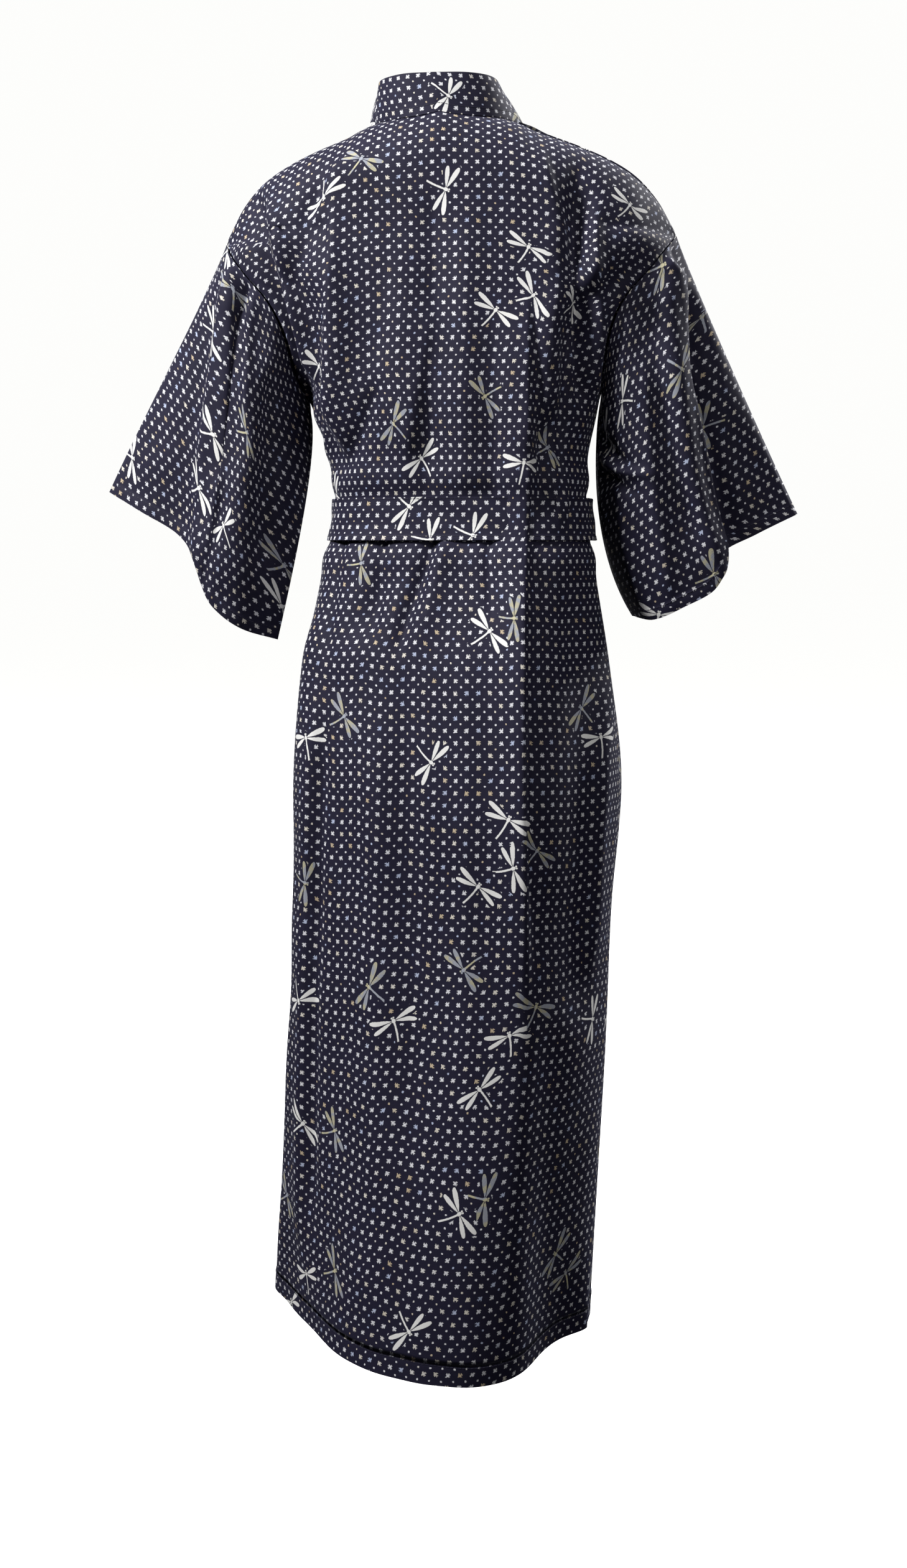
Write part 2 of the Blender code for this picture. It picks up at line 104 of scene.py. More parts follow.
# Plan sections of the body cloth, from the shoulders down. edge_y and edge_angle open the
# section at its sides, where the sleeves are sewn on. turn is the twist of the pose, in degrees.
BODY = table(
    "z half_width back front flatness centre_x centre_y turn edge_y edge_angle",
    (0.040, 0.268, 0.092, 0.076, 0.30, 0.000, 0.000, 0, 0.000, 58),
    (SLEEVE_TOP_Z, 0.268, 0.101, 0.096, 0.30, -0.004, 0.000, 0, 0.000, 58),
    (-0.143, 0.265, 0.101, 0.097, 0.30, -0.004, 0.000, 0, 0.015, 58),
    (-0.154, 0.258, 0.102, 0.099, 0.30, -0.004, 0.000, 0, 0.028, 57),
    (-0.180, 0.238, 0.104, 0.103, 0.30, -0.005, 0.000, 0, 0.043, 56),
    (-0.215, 0.208, 0.107, 0.109, 0.30, -0.006, 0.000, -1, 0.053, 56),
    (-0.250, 0.191, 0.110, 0.114, 0.30, -0.007, 0.000, -2, 0.050, 62),
    (-0.300, 0.181, 0.112, 0.117, 0.30, -0.008, 0.000, -4, 0.030, 76),
    (ARMPIT_Z, 0.172, 0.112, 0.116, 0.30, -0.010, 0.000, -5, 0.000, 90),
    (-0.400, 0.152, 0.110, 0.110, 0.30, -0.018, -0.004, -8, 0.000, 90),
    (-0.470, 0.152, 0.108, 0.106, 0.30, -0.020, -0.004, -10, 0.000, 90),
    (-0.540, 0.165, 0.120, 0.112, 0.35, -0.018, 0.000, -12, 0.000, 90),
    (-0.640, 0.180, 0.142, 0.122, 0.40, -0.018, 0.004, -13, 0.000, 90),
    (-0.770, 0.190, 0.154, 0.130, 0.40, -0.021, 0.006, -13, 0.000, 90),
    (-0.920, 0.184, 0.154, 0.134, 0.35, -0.016, 0.006, -13, 0.000, 90),
    (-1.080, 0.186, 0.156, 0.138, 0.15, -0.007, 0.008, -13, 0.000, 90),
    (-1.240, 0.189, 0.160, 0.142, -0.25, 0.006, 0.010, -13, 0.000, 90),
    (HEM_Z - 0.01, 0.194, 0.164, 0.146, -0.75, 0.021, 0.012, -13, 0.000, 90),
)

# Shoulder ridge: its height over each distance from the middle
SHOULDER = table(
    "x z",
    (0.000, 0.022),
    (0.085, -0.003),
    (0.110, -0.015),
    (0.150, -0.030),
    (0.192, -0.049),
    (0.222, -0.069),
    (0.246, -0.096),
    (0.262, -0.124),
    (0.280, -0.160),
)

# Largest folds of the body cloth. across is -1 at the wearer's right seam and 1 at the left one,
# rise is outward, width is in the same unit as across, and fade is the length of the fold's ends.
FOLDS = table(
    "side across_top across_bottom z_top z_bottom fade rise width",
    (1, -0.90, -0.50, -0.160, -0.430, 0.070, -0.010, 0.11),
    (1, -0.72, -0.40, -0.130, -0.430, 0.070, 0.007, 0.09),
    (1, 0.78, 0.62, -0.140, -0.430, 0.070, -0.009, 0.10),
    (1, 0.56, 0.50, -0.060, -0.430, 0.070, 0.006, 0.09),
    (1, 0.20, 0.14, -0.120, -0.430, 0.070, 0.005, 0.10),
    (1, -0.46, -0.44, -0.510, -1.500, 0.070, 0.007, 0.09),
    (1, -0.72, -0.74, -0.520, -1.050, 0.070, -0.008, 0.11),
    (1, 0.62, 0.72, -0.560, -1.500, 0.070, 0.007, 0.10),
    (1, 0.08, 0.42, -0.490, -0.640, 0.070, -0.006, 0.09),
    (1, 0.36, 0.30, -0.600, -1.500, 0.070, -0.006, 0.16),
    (1, -0.34, -0.28, -0.900, -1.900, 0.480, 0.038, 0.22),
    (-1, 0.60, 0.45, -0.180, -0.430, 0.070, -0.007, 0.12),
    (-1, -0.60, -0.45, -0.180, -0.430, 0.070, -0.007, 0.12),
    (-1, 0.50, 0.55, -0.510, -1.500, 0.070, 0.007, 0.12),
    (-1, 0.12, 0.16, -0.520, -1.500, 0.070, -0.006, 0.14),
    (-1, -0.62, -0.58, -0.510, -1.500, 0.070, 0.007, 0.12),
)

# Free front edge of the outer (left) front, and the band's seam beside it. The right front mirrors it.
FRONT_EDGE = table(
    "z free seam panel",
    (0.010, 0.068, 0.088, 0.086),
    (-0.030, 0.058, 0.097, 0.091),
    (-0.065, 0.040, 0.090, 0.078),
    (-0.100, 0.018, 0.072, 0.044),
    (-0.140, -0.003, 0.050, 0.012),
    (-0.270, -0.050, 0.002, -0.046),
    (-0.420, -0.086, -0.035, -0.082),
    (-0.550, -0.108, -0.058, -0.104),
    (-0.720, -0.119, -0.069, -0.115),
    (HEM_Z - 0.01, -0.124, -0.074, -0.124),
)
OVERLAP_SEAM_X = 0.012
OVERLAP_SEAM_RUN = 0.200

# How far the right front's layers lie inside the left front's
INNER_INSET = 2.2 * LAYER
INSET_RUN = 0.080
INSET_START = 0.012

# Standing part of the neckband, from the back middle round to a front: the distance of its seam
# from the middle and below the shoulder ridge, and its free edge
COLLAR = table(
    "step seam_x drop free_x free_y free_z",
    (0, 0.000, 0.0, 0.000, 0.064, 0.044),
    (1, 0.040, 0.0, 0.038, 0.056, 0.045),
    (2, 0.067, 0.0, 0.064, 0.032, 0.046),
    (3, 0.084, 0.0, 0.072, 0.000, 0.044),
    (4, 0.096, 0.018, 0.070, -0.028, 0.029),
    (5, 0.098, 0.040, 0.059, -0.054, 0.003),
)
STANDING_STEPS = COLLAR[-1].step
RIDGE_STEP = 3
LAST_STEP = 26
BAND_LAP = 0.0015
BAND_SEWN_LAP = 0.0025
BAND_SEWN_LIFT = 0.0009
BAND_RIDGE_SEWN_LIFT = 0.0010
BAND_SEWN_SHARE = 0.16
COLLAR_SHIFT = 0.0065
BAND_LIFT_STEP = 4.2
BAND_RIDGE_LIFT = 0.0025
BAND_SLANT = 0.038

# Cuff edges, from the outer fold of the sleeve to its inner fold
CUFF_LEFT = table(
    "share x z back_y front_y",
    (0.00, 0.414, -0.435, -0.012, -0.012),
    (0.16, 0.362, -0.463, 0.008, -0.030),
    (0.30, 0.318, -0.488, 0.020, -0.042),
    (0.42, 0.291, -0.514, 0.035, -0.048),
    (0.54, 0.283, -0.545, 0.047, -0.052),
    (0.68, 0.270, -0.571, 0.053, -0.052),
    (0.84, 0.238, -0.597, 0.044, -0.044),
    (1.00, 0.202, -0.613, 0.002, 0.002),
)
CUFF_RIGHT = table(
    "share x z back_y front_y",
    (0.00, 0.416, -0.463, -0.036, -0.036),
    (0.18, 0.368, -0.486, -0.012, -0.056),
    (0.34, 0.330, -0.509, 0.004, -0.068),
    (0.46, 0.325, -0.533, 0.020, -0.076),
    (0.60, 0.312, -0.553, 0.032, -0.080),
    (0.76, 0.280, -0.570, 0.040, -0.078),
    (0.90, 0.246, -0.585, 0.028, -0.066),
    (1.00, 0.222, -0.583, -0.014, -0.014),
)

# Folds of the sleeves: share runs from the outer fold to the inner one, at the shoulder and at the
# cuff, and start and end run from 0 at the shoulder to 1 at the cuff
SLEEVE_FOLDS = table(
    "side share_top share_cuff start end rise width",
    (1, 0.40, 0.46, 0.10, 1.30, 0.007, 0.08),
    (1, 0.62, 0.58, 0.15, 0.90, -0.006, 0.08),
    (1, 0.22, 0.24, 0.20, 1.30, -0.005, 0.10),
    (-1, 0.45, 0.50, 0.10, 1.30, 0.006, 0.10),
    (-1, 0.70, 0.66, 0.15, 0.90, -0.005, 0.09),
)
SLEEVE_FADE = 0.15
# How far each sleeve's inner fold leans outward at the cuff
INNER_LEAN_LEFT = 0.22
INNER_LEAN_RIGHT = 0.60
OUTER_LEAN = 0.44
# How far a sleeve keeps the way it leaves its seam, and the way it has at the cuff
LEAVE_PULL = 0.120
ARRIVE_PULL = 0.300
SHOULDER_SLOPE = (0.50, 0.0, -0.87)
SLEEVE_BULGE = 0.016
SLEEVE_GAP = 0.0010
ARMPIT_CLEARANCE = 0.0025
# Turn of the print on each sleeve, in degrees from level
PRINT_TURN_LEFT = 29.0
PRINT_TURN_RIGHT = 27.0

# Belt
BELT_WALL = 0.0020
BELT_OUT_BACK = 0.0040
BELT_OUT_FRONT = 0.0076
KNOT_X = 0.035
KNOT_SIZE = (0.044, 0.026, 0.054)
KNOT_SEAT = -0.0002
KNOT_SQUARENESS = 0.42
BELT_END_WIDTH = 0.046
BELT_ENDS = table(
    "name length lean lift top_lift",
    ("belt_end_left", 0.300, 0.070, 0.010, 0.018),
    ("belt_end_right", 0.270, -0.060, 0.014, 0.025),
)

# Turned hems: their rise over the cloth beside them, their depth and the height of their stitches
HEM_RISE = 0.0006
HEM_DEPTH = 0.0215
HEM_SEWN = 0.0195
HEM_LEVELS = (HEM_Z + 0.0225, HEM_Z + 0.0210, HEM_Z + 0.0012)
CUFF_SEWN_ROWS = (0.9585, 0.985, 0.998, 1.0)
CUFF_HEM_SHARE = 0.957

# Stitches of the hems, the neckband and the belt
STITCH_LONG = 0.0032
STITCH_GAP = 0.0012
STITCH_START = 0.002
STITCH_WIDE = 0.0007
STITCH_PROUD = 0.0004
STITCH_SUNK = -0.0002
STITCH_CORNERS = ((STITCH_SUNK, -1), (STITCH_SUNK, 1), (STITCH_PROUD, 0.5), (STITCH_PROUD, -0.5))
STITCH_FACES = ((0, 1, 2, 3), (7, 6, 5, 4), (0, 4, 5, 1), (1, 5, 6, 2), (2, 6, 7, 3), (3, 7, 4, 0))

# The back's side columns lie a little inward, so that no light passes the side seams
SEAM_TUCK = np.array((0.0013, -0.0024, 0.0))

# Number of the shells' mesh cells: across and down each piece
Cells = namedtuple("Cells", "across down")
BACK_CELLS = Cells(150, 250)
FRONT_CELLS = Cells(72, 250)
OVERLAP_CELLS = Cells(28, 200)
SLEEVE_CELLS = Cells(150, 110)
BAND_CELLS = Cells(520, 14)
BELT_CELLS = Cells(300, 14)
KNOT_CELLS = Cells(72, 40)
END_CELLS = Cells(14, 90)

# More print across where the belt gathers the cloth
GATHER = table(
    "z more",
    (0.030, 1.00),
    (-0.250, 1.02),
    (-0.400, 1.15),
    (-0.470, 1.17),
    (-0.560, 1.06),
    (-0.700, 1.00),
    (HEM_Z - 0.01, 1.00),
)

# Fine unevenness of the cloth: its rise and how far it is from wave to wave
Ripple = namedtuple("Ripple", "rise scale")
BACK_RIPPLE = Ripple(0.0007, 0.060)
FRONT_RIPPLE = Ripple(0.0006, 0.060)
SLEEVE_RIPPLE = Ripple(0.0008, 0.070)
BAND_RIPPLE = Ripple(0.0004, 0.045)
TALL = (1, 1, 0.45)

# The cloth's swell beside the belt: its rise, its middle from the belt's edge, its width and its start
BELT_PUFFS = table(
    "edge way rise middle width",
    (BELT_TOP_Z, 1, 0.0040, 0.022, 0.016),
    (BELT_BOTTOM_Z, -1, 0.0034, 0.020, 0.015),
)
PUFF_START = 0.012

# Print, in millimetres: the marks' spacing, strokes and dots
MARK_ACROSS = 12.9
MARK_DOWN = 13.4
MARK_STROKE = 0.88
MARK_OPEN = 1.16
MARK_REACH = 2.35
DOT_RADIUS = 1.16
DYE_DRIFT = 1.5
MARK_JITTER = 0.9
MARK_WHITE = (0.84, 0.84, 0.88, 1.0)
MARK_CREAM = (0.80, 0.75, 0.66, 1.0)
MARK_GOLD = (0.64, 0.52, 0.36, 1.0)
MARK_BLUE = (0.52, 0.58, 0.76, 1.0)
GROUND_DARK = (0.0066, 0.0060, 0.0178, 1.0)
GROUND_LIGHT = (0.0145, 0.0128, 0.0345, 1.0)
GROUND_THREAD = (0.0215, 0.0192, 0.0475, 1.0)
REVERSE_COLOUR = (0.050, 0.050, 0.080, 1.0)
SHEEN_TINT = (0.62, 0.64, 0.95, 1.0)
THREAD_COLOUR = (0.020, 0.019, 0.040, 1.0)
CLOTH_MAP = "Cloth"

# Dragonflies of the print, in centimetres: each wing's angle from the head, length and width, and the
# bare ground round one. FLY_REACH and FLY_APART are in metres.
FORE_WING = (77.0, 2.60, 0.33)
HIND_WING = (104.0, 2.40, 0.30)
FLY_CLEAR = 0.26
FLY_REACH = 0.038
FLY_APART = 0.062
FLY_MAP = "fly_place"
FLY_WHITE = (0.90, 0.89, 0.87, 1.0)
FLY_SILVER = (0.40, 0.42, 0.48, 1.0)
FLY_PEARL = (0.58, 0.54, 0.36, 1.0)
FLY_VEIN = (0.16, 0.16, 0.20, 1.0)

# Where the dragonflies show on the cloth: x and z in millimetres, the way the head points from the
# right, in degrees, and 1 for white or 2 for silver
FLIES = table(
    "piece x z angle tone",
    ("back", 87, -59, 54, 2), ("back", -14, -97, -33, 1), ("back", -106, -165, 63, 1),
    ("back", -109, -221, 18, 1), ("back", -69, -238, 53, 1), ("back", -153, -226, 24, 1),
    ("back", 140, -290, 60, 1), ("back", -58, -333, -134, 2), ("back", 46, -363, 135, 2),
    ("back", 17, -401, 119, 1), ("back", -126, -392, 43, 2), ("back", -101, -409, 85, 1),
    ("back", -219, -111, 70, 1), ("back", 130, -103, -60, 1), ("belt", 30, -455, -35, 1),
    ("belt", 5, -492, -60, 1), ("belt", -43, -488, -22, 1), ("back", 124, -444, 140, 1),
    ("back", 85, -523, 30, 2), ("back", -64, -593, 37, 1), ("back", -93, -577, -5, 2),
    ("back", 100, -693, 53, 2), ("back", 149, -717, 99, 1), ("back", 163, -770, 114, 1),
    ("back", -164, -678, 128, 2), ("back", -187, -715, 104, 1), ("back", -1, -735, -37, 1),
    ("back", -87, -792, 64, 1), ("back", -118, -825, 49, 2), ("back", -91, -844, 25, 1),
    ("back", -54, -864, 57, 1), ("back", 149, -883, -10, 2), ("back", 69, -987, 129, 2),
    ("back", -40, -955, -134, 2), ("back", 38, -1021, 112, 1), ("back", 157, -1017, -68, 1),
    ("back", -89, -1027, 104, 1), ("back", -117, -994, 73, 2), ("back", -175, -1029, -31, 1),
    ("back", -57, -1082, 132, 1), ("back", 155, -1162, 45, 1), ("back", 112, -1152, 35, 2),
    ("back", -36, -1211, 34, 1), ("back", -65, -1194, -4, 2), ("back", 152, -1336, 98, 1),
    ("back", 108, -1309, 49, 2), ("back", 175, -1388, 110, 1), ("back", 19, -1341, -51, 1),
    ("back", -136, -1285, 125, 2), ("back", -146, -1314, 100, 2), ("back", 180, -1262, 60, 2),
    ("sleeve_left", 267, -370, 0, 1), ("sleeve_left", 227, -366, 10, 2), ("sleeve_left", 287, -433, 16, 1),
    ("sleeve_left", 255, -478, 104, 1), ("sleeve_left", 191, -524, 20, 2),
    ("sleeve_left", 196, -572, 180, 1), ("sleeve_left", 384, -392, -30, 1),
    ("sleeve_left", 261, -147, 30, 1), ("sleeve_left", 246, -199, 100, 2),
    ("sleeve_left", 271, -247, -20, 1), ("sleeve_right", -186, -322, 152, 1),
    ("sleeve_right", -210, -335, -172, 1), ("sleeve_right", -276, -301, -60, 2),
    ("sleeve_right", -304, -361, -123, 2), ("sleeve_right", -191, -371, 60, 1),
    ("sleeve_right", -255, -179, 40, 2), ("sleeve_right", -304, -233, 120, 2),
    ("sleeve_right", -252, -577, 75, 1), ("sleeve_right", -316, -534, 30, 2), ("neckband", -12, 17, -36, 1),
)

# Narrower creases of the cloth by piece and side, 1 for its back and -1 for its front, in millimetres.
# A negative rise is a trough, left and right are its widths towards -X and +X, fade is the length of
# its ends, and path holds x and z in turn from top to bottom.
CREASE_COLUMNS = "rise left right fade path"
CREASES = {
    ("back", 1): table(
        CREASE_COLUMNS,
        (-15, 13, 14, 50, (222, -85, 206, -150, 192, -205, 176, -260, 160, -330)),
        (12, 11, 12, 40, (196, -105, 183, -160, 171, -215, 158, -300)),
        (-12.3, 10.6, 12.3, 40, (-170, -100, -164, -140, -160, -203, -161, -332)),
        (9.6, 8.8, 12.3, 40, (-176, -120, -178, -200, -182, -260, -172, -330)),
        (7.9, 14.1, 7, 30, (112, -62, 125, -92, 137, -118, 148, -136)),
        (7, 17.6, 5.3, 60, (118, -115, 123, -234, 128, -303, 135, -400)),
        (7.9, 5.3, 22.9, 50, (-120, -60, -128, -95, -141, -135, -149, -172, -154, -229, -155, -340)),
        (8.8, 4.4, 26.4, 70, (-104, -240, -104, -377, -102, -470)),
        (11.4, 4.4, 29.9, 120, (-101, -480, -102, -682, -103, -785, -105, -960)),
        (5.3, 7, 5.3, 60, (-136, -270, -134, -439, -134, -480)),
        (6.1, 5.3, 7, 60, (-154, -270, -143, -440, -142, -480)),
        (-7, 5.3, 5.3, 70, (-117, -300, -120, -460)),
        (-9.6, 7.9, 7.9, 50, (0, -480, 8, -520, 30, -575, 38, -610)),
        (6.1, 14.1, 10.6, 50, (-12, -490, -4, -530, 12, -600)),
        (6.1, 12.3, 15.8, 60, (2, -240, 16, -310, 32, -400)),
        (-7, 12.3, 12.3, 40, (66, -320, 84, -365, 108, -412)),
        (8.8, 14.1, 8.8, 80, (-190, -640, -182, -790, -172, -960)),
        (8.8, 7, 14.1, 120, (138, -700, 147, -940, 157, -1280)),
        (-7, 8.8, 8.8, 100, (128, -720, 137, -940, 146, -1260)),
        (7, 26.4, 26.4, 120, (60, -700, 58, -980, 60, -1330)),
        (-5.3, 8.8, 10.6, 40, (60, -478, 64, -540, 70, -600)),
        (-5.3, 7, 7, 40, (-60, -478, -62, -530, -66, -570)),
        (-5.3, 7, 7, 40, (110, -478, 118, -540, 126, -620)),
        (-6, 15, 18, 70, (4, -110, 0, -240, 8, -300, 10, -450)),
        (5, 20, 18, 90, (-34, -150, -36, -300, -32, -450)),
        (-5.5, 14, 16, 80, (-66, -260, -68, -360, -66, -460)),
        (-4.5, 18, 20, 90, (52, -150, 60, -230, 70, -300)),
        (-5, 18, 22, 140, (30, -640, 22, -860, 18, -1120)),
        (5, 22, 20, 160, (-36, -600, -42, -820, -40, -1100)),
        (-10, 14, 16, 50, (134, -85, 148, -135, 160, -190)),
        (-11.5, 13, 13, 50, (-160, -73, -153, -174, -147, -300, -140, -433)),
    ),
    ("sleeve_left", 1): table(
        CREASE_COLUMNS,
        (10, 8.8, 14.1, 50, (236, -150, 252, -200, 268, -300, 280, -400, 286, -520)),
        (-9, 8.8, 7, 50, (222, -180, 240, -230, 250, -330, 262, -420)),
        (9, 8.8, 7, 50, (222, -200, 227, -270, 227, -350)),
        (-10, 10.6, 12.3, 50, (200, -300, 203, -400, 210, -520)),
    ),
    ("sleeve_right", 1): table(
        CREASE_COLUMNS,
        (14, 7, 19.4, 60, (-250, -160, -268, -190, -274, -230, -277, -302, -303, -416, -325, -520)),
        (-16, 14.1, 8.8, 60, (-286, -220, -292, -302, -318, -416, -338, -510)),
        (-10, 7, 8.8, 16, (-180, -372, -196, -392, -214, -408)),
        (10, 8.8, 7, 16, (-182, -392, -200, -410, -222, -420)),
        (-8, 6.2, 6.2, 14, (-186, -414, -204, -428, -220, -440)),
        (8, 12.3, 12.3, 60, (-232, -300, -240, -420, -262, -560)),
    ),
    ("front_left", -1): table(
        CREASE_COLUMNS,
        (-8, 10.6, 12.3, 40, (176, -110, 168, -200, 160, -330)),
        (7.2, 10.6, 10.6, 50, (150, -140, 142, -260, 130, -420)),
        (6.4, 8.8, 12.3, 60, (82, -300, 80, -440, 90, -640)),
        (-6.4, 8.8, 8.8, 80, (120, -480, 132, -700, 140, -1050)),
        (7.2, 12.3, 17.6, 120, (64, -500, 74, -800, 78, -1300)),
    ),
    ("front_right", -1): table(
        CREASE_COLUMNS,
        (-8, 12.3, 10.6, 40, (-178, -110, -170, -200, -164, -330)),
        (7.2, 10.6, 10.6, 50, (-150, -130, -146, -260, -140, -420)),
        (-6.4, 10.6, 10.6, 60, (-104, -260, -112, -360, -116, -470)),
        (7.2, 10.6, 15.8, 100, (-140, -490, -158, -760, -164, -1200)),
    ),
    ("sleeve_left", -1): table(
        CREASE_COLUMNS,
        (10, 10.6, 12.3, 60, (270, -180, 300, -320, 320, -460)),
        (-10, 10.6, 10.6, 50, (222, -210, 246, -340, 262, -500)),
    ),
    ("sleeve_right", -1): table(
        CREASE_COLUMNS,
        (10, 12.3, 10.6, 60, (-272, -180, -296, -320, -330, -470)),
        (-10, 10.6, 10.6, 50, (-224, -210, -240, -340, -258, -500)),
    ),
}

# Studio and camera
CAMERA_YAW = 6.0
CAMERA_AWAY = 1.85
CAMERA_HEIGHT = -0.495
CAMERA_FOCAL = 2500.0
FRAME_LONG = 2520.0
SENSOR = 36.0
CAMERA_SHIFT_X = 0.0056
CAMERA_SHIFT_Y = -0.1548
FLOOR_Z = -1.56
FLOOR_SIZE = 60
FLOOR_GLOW = 1.0
FLOOR_COLOUR = (0.93, 0.93, 0.93, 1.0)
ROOM_WHITE = (0.985, 0.985, 0.970, 1.0)
LAMPS = table(
    "name place target size power",
    ("key", (1.95, 1.35, 1.35), (0.0, 0.0, -0.35), 0.75, 118.0),
    ("back_fill", (-1.5, 2.3, 0.5), (0.0, 0.0, -0.45), 2.0, 22.0),
    ("front_key", (-2.2, -1.8, 1.2), (0.0, 0.0, -0.6), 1.1, 100.0),
    ("front_fill", (1.6, -2.5, -0.1), (0.0, 0.0, -0.7), 2.4, 22.0),
    ("top", (0.0, 0.2, 2.0), (0.0, 0.0, 0.0), 2.0, 26.0),
)


def cubic(start, leave, end, arrive, t):
    """A smooth run from start to end, leaving and arriving with the given slopes."""
    return (
        start * (1 + 2 * t) * (1 - t) ** 2
        + leave * t * (1 - t) ** 2
        + end * t * t * (3 - 2 * t)
        + arrive * t * t * (t - 1)
    )


def along(rows, at, column):
    """Values of a table's column at places given in its first column, smooth between its rows."""
    rows = rows if rows[0][0] < rows[-1][0] else rows[::-1]
    keys = np.array([row[0] for row in rows], float)
    values = np.array([getattr(row, column) for row in rows], float)
    last = len(keys) - 1
    at = np.clip(at, keys[0], keys[-1])
    i = np.clip(np.searchsorted(keys, at, side="right") - 1, 0, last - 1)
    index = np.arange(last + 1)
    low, high = np.maximum(index - 1, 0), np.minimum(index + 1, last)
    slope = (values[high] - values[low]) / (keys[high] - keys[low])
    span = keys[i + 1] - keys[i]
    return cubic(values[i], slope[i] * span, values[i + 1], slope[i + 1] * span, (at - keys[i]) / span)


def ease(t):
    t = np.clip(t, 0.0, 1.0)
    return t * t * (3 - 2 * t)


def mix(a, b, t):
    return a + (b - a) * t


def point(x, y, z):
    return np.stack(np.broadcast_arrays(x, y, z), axis=-1)


def unit(vectors):
    return vectors / np.maximum(np.linalg.norm(vectors, axis=-1, keepdims=True), 1e-9)


def scaled(vectors, factor):
    return vectors * np.asarray(factor)[..., None]


def turned(x, y, z, angle):
    """Points after a turn about the vertical, in radians."""
    return point(x * np.cos(angle) - y * np.sin(angle), x * np.sin(angle) + y * np.cos(angle), z)


def bow(angle, flatness):
    return np.cos(angle) * (1 + flatness * np.sin(angle) ** 2)


def shoulder_round(x, z):
    """1 well below the shoulder ridge and 0 on it, along a quarter ellipse."""
    below = np.clip((along(SHOULDER, np.abs(x), "z") - z) / SHOULDER_ROUNDING, 0.0, 1.0)
    return np.sqrt(1 - (1 - below) ** 2)


def smooth_torso(across, z, side):
    """Points on the body cloth before its folds. across is -1 to 1 between the side edges."""
    edge = np.radians(along(BODY, z, "edge_angle"))
    angle = across * edge
    x = along(BODY, z, "half_width") * np.sin(angle) / np.sin(edge)
    edge_y = along(BODY, z, "edge_y")
    depth = along(BODY, z, "back" if side > 0 else "front")
    flatness = along(BODY, z, "flatness") if side > 0 else FRONT_FLATNESS
    reach = (bow(angle, flatness) - bow(edge, flatness)) / (1 - bow(edge, flatness))
    y = side * (edge_y + (depth - edge_y) * reach) * shoulder_round(x, z)
    centre = point(along(BODY, z, "centre_x"), along(BODY, z, "centre_y"), 0.0)
    return turned(x, y, z, np.radians(along(BODY, z, "turn"))) + centre


def outward(across, z, side):
    here = smooth_torso(across, z, side)
    down = smooth_torso(across, z - 0.002, side)
    beside = smooth_torso(across + 0.01, z, side) - smooth_torso(across - 0.01, z, side)
    return unit(np.cross(here - down, beside)) * side


def bump_across(offset, power=2):
    """1 on a fold's line, falling off to both sides of it."""
    return np.exp(-np.abs(offset) ** power)


def fold_rise(across, z, side):
    total = np.zeros(np.broadcast(across, z).shape)
    for fold in FOLDS:
        if fold.side == side:
            share = (fold.z_top - z) / (fold.z_top - fold.z_bottom)
            offset = (across - mix(fold.across_top, fold.across_bottom, share)) / fold.width
            ends = ease((fold.z_top - z) / fold.fade) * ease((z - fold.z_bottom) / fold.fade)
            total = total + fold.rise * bump_across(offset) * ends
    return total * ease((1 - np.abs(across)) / 0.12)


def torso(across, z, side, out=0.0):
    """Middle of the body cloth, half a wall and half a seam gap off the plane between back and front."""
    across, z, out = np.broadcast_arrays(across, z, out)
    normal = outward(across, z - 0.004, side)
    seat = side * (SEAM_GAP + WALL * np.abs(normal[..., 1])) / 2
    rise = out + fold_rise(across, z, side)
    return smooth_torso(across, z, side) + scaled(outward(across, z, side), rise) + point(0.0, seat, 0.0)


def across_at(x, z):
    """The place across the body cloth at a distance x from its middle line, before the twist."""
    edge = np.radians(along(BODY, z, "edge_angle"))
    ratio = x * np.sin(edge) / along(BODY, z, "half_width")
    return np.arcsin(np.clip(ratio, -1.0, 1.0)) / edge


def neck_edge_z(x, half_width=NECK_HALF_WIDTH, hole_depth=NECK_DEPTH):
    """Height of the back neck edge, where the round neck hole cuts the body cloth."""
    share = np.minimum(np.abs(x) / half_width, 1.0)
    depth = hole_depth * np.sqrt(1 - share * share)
    ridge = along(SHOULDER, np.abs(x), "z")
    full_depth = smooth_torso(across_at(x, 0.0), ridge - SHOULDER_ROUNDING, 1)[..., 1]
    rounding = np.minimum(depth / full_depth, 1.0)
    return ridge - SHOULDER_ROUNDING * (1 - np.sqrt(1 - rounding ** 2))


def row_heights():
    heights = [YOKE_Z]
    for band in ROW_BANDS:
        start = heights[-1]
        heights += [mix(start, band.bottom_z, (k + 1) / band.count) for k in range(band.count)]
    return heights


BODY_HEIGHTS = row_heights()
BODY_ROWS = len(BODY_HEIGHTS) - 1
SEWN_ROWS = YOKE_ROWS + ROW_BANDS[0].count
LAST_ROW = YOKE_ROWS + BODY_ROWS


def panel_z(top, row):
    """Height at a row: the yoke rows spread from the top edge, the rest are level."""
    row = np.asarray(row, float)
    yoke = mix(top, YOKE_Z, np.clip(row / YOKE_ROWS, 0, 1) ** 1.2)
    below = np.interp(row - YOKE_ROWS, np.arange(BODY_ROWS + 1), BODY_HEIGHTS)
    return np.where(row < YOKE_ROWS, yoke, below)


def panel_grid(cells, first=0.0):
    """Places across, 0 to 1, and down a panel, its rows even down the cloth and closer at the hem."""
    spots = np.linspace(0, LAST_ROW, 800)
    heights = panel_z(0.0, spots)
    even = np.linspace(np.interp(first, spots, heights), HEM_Z, cells.down - 3)
    levels = np.sort(np.concatenate([even, HEM_LEVELS]))[::-1]
    return grid(cells.across, np.interp(-levels, -heights, spots))


def plain(value):
    """Nested vectors or arrays as plain lists."""
    if isinstance(value, (int, float, str)):
        return value
    if isinstance(value, dict):
        return {str(key): plain(item) for key, item in value.items()}
    return [plain(item) for item in value]


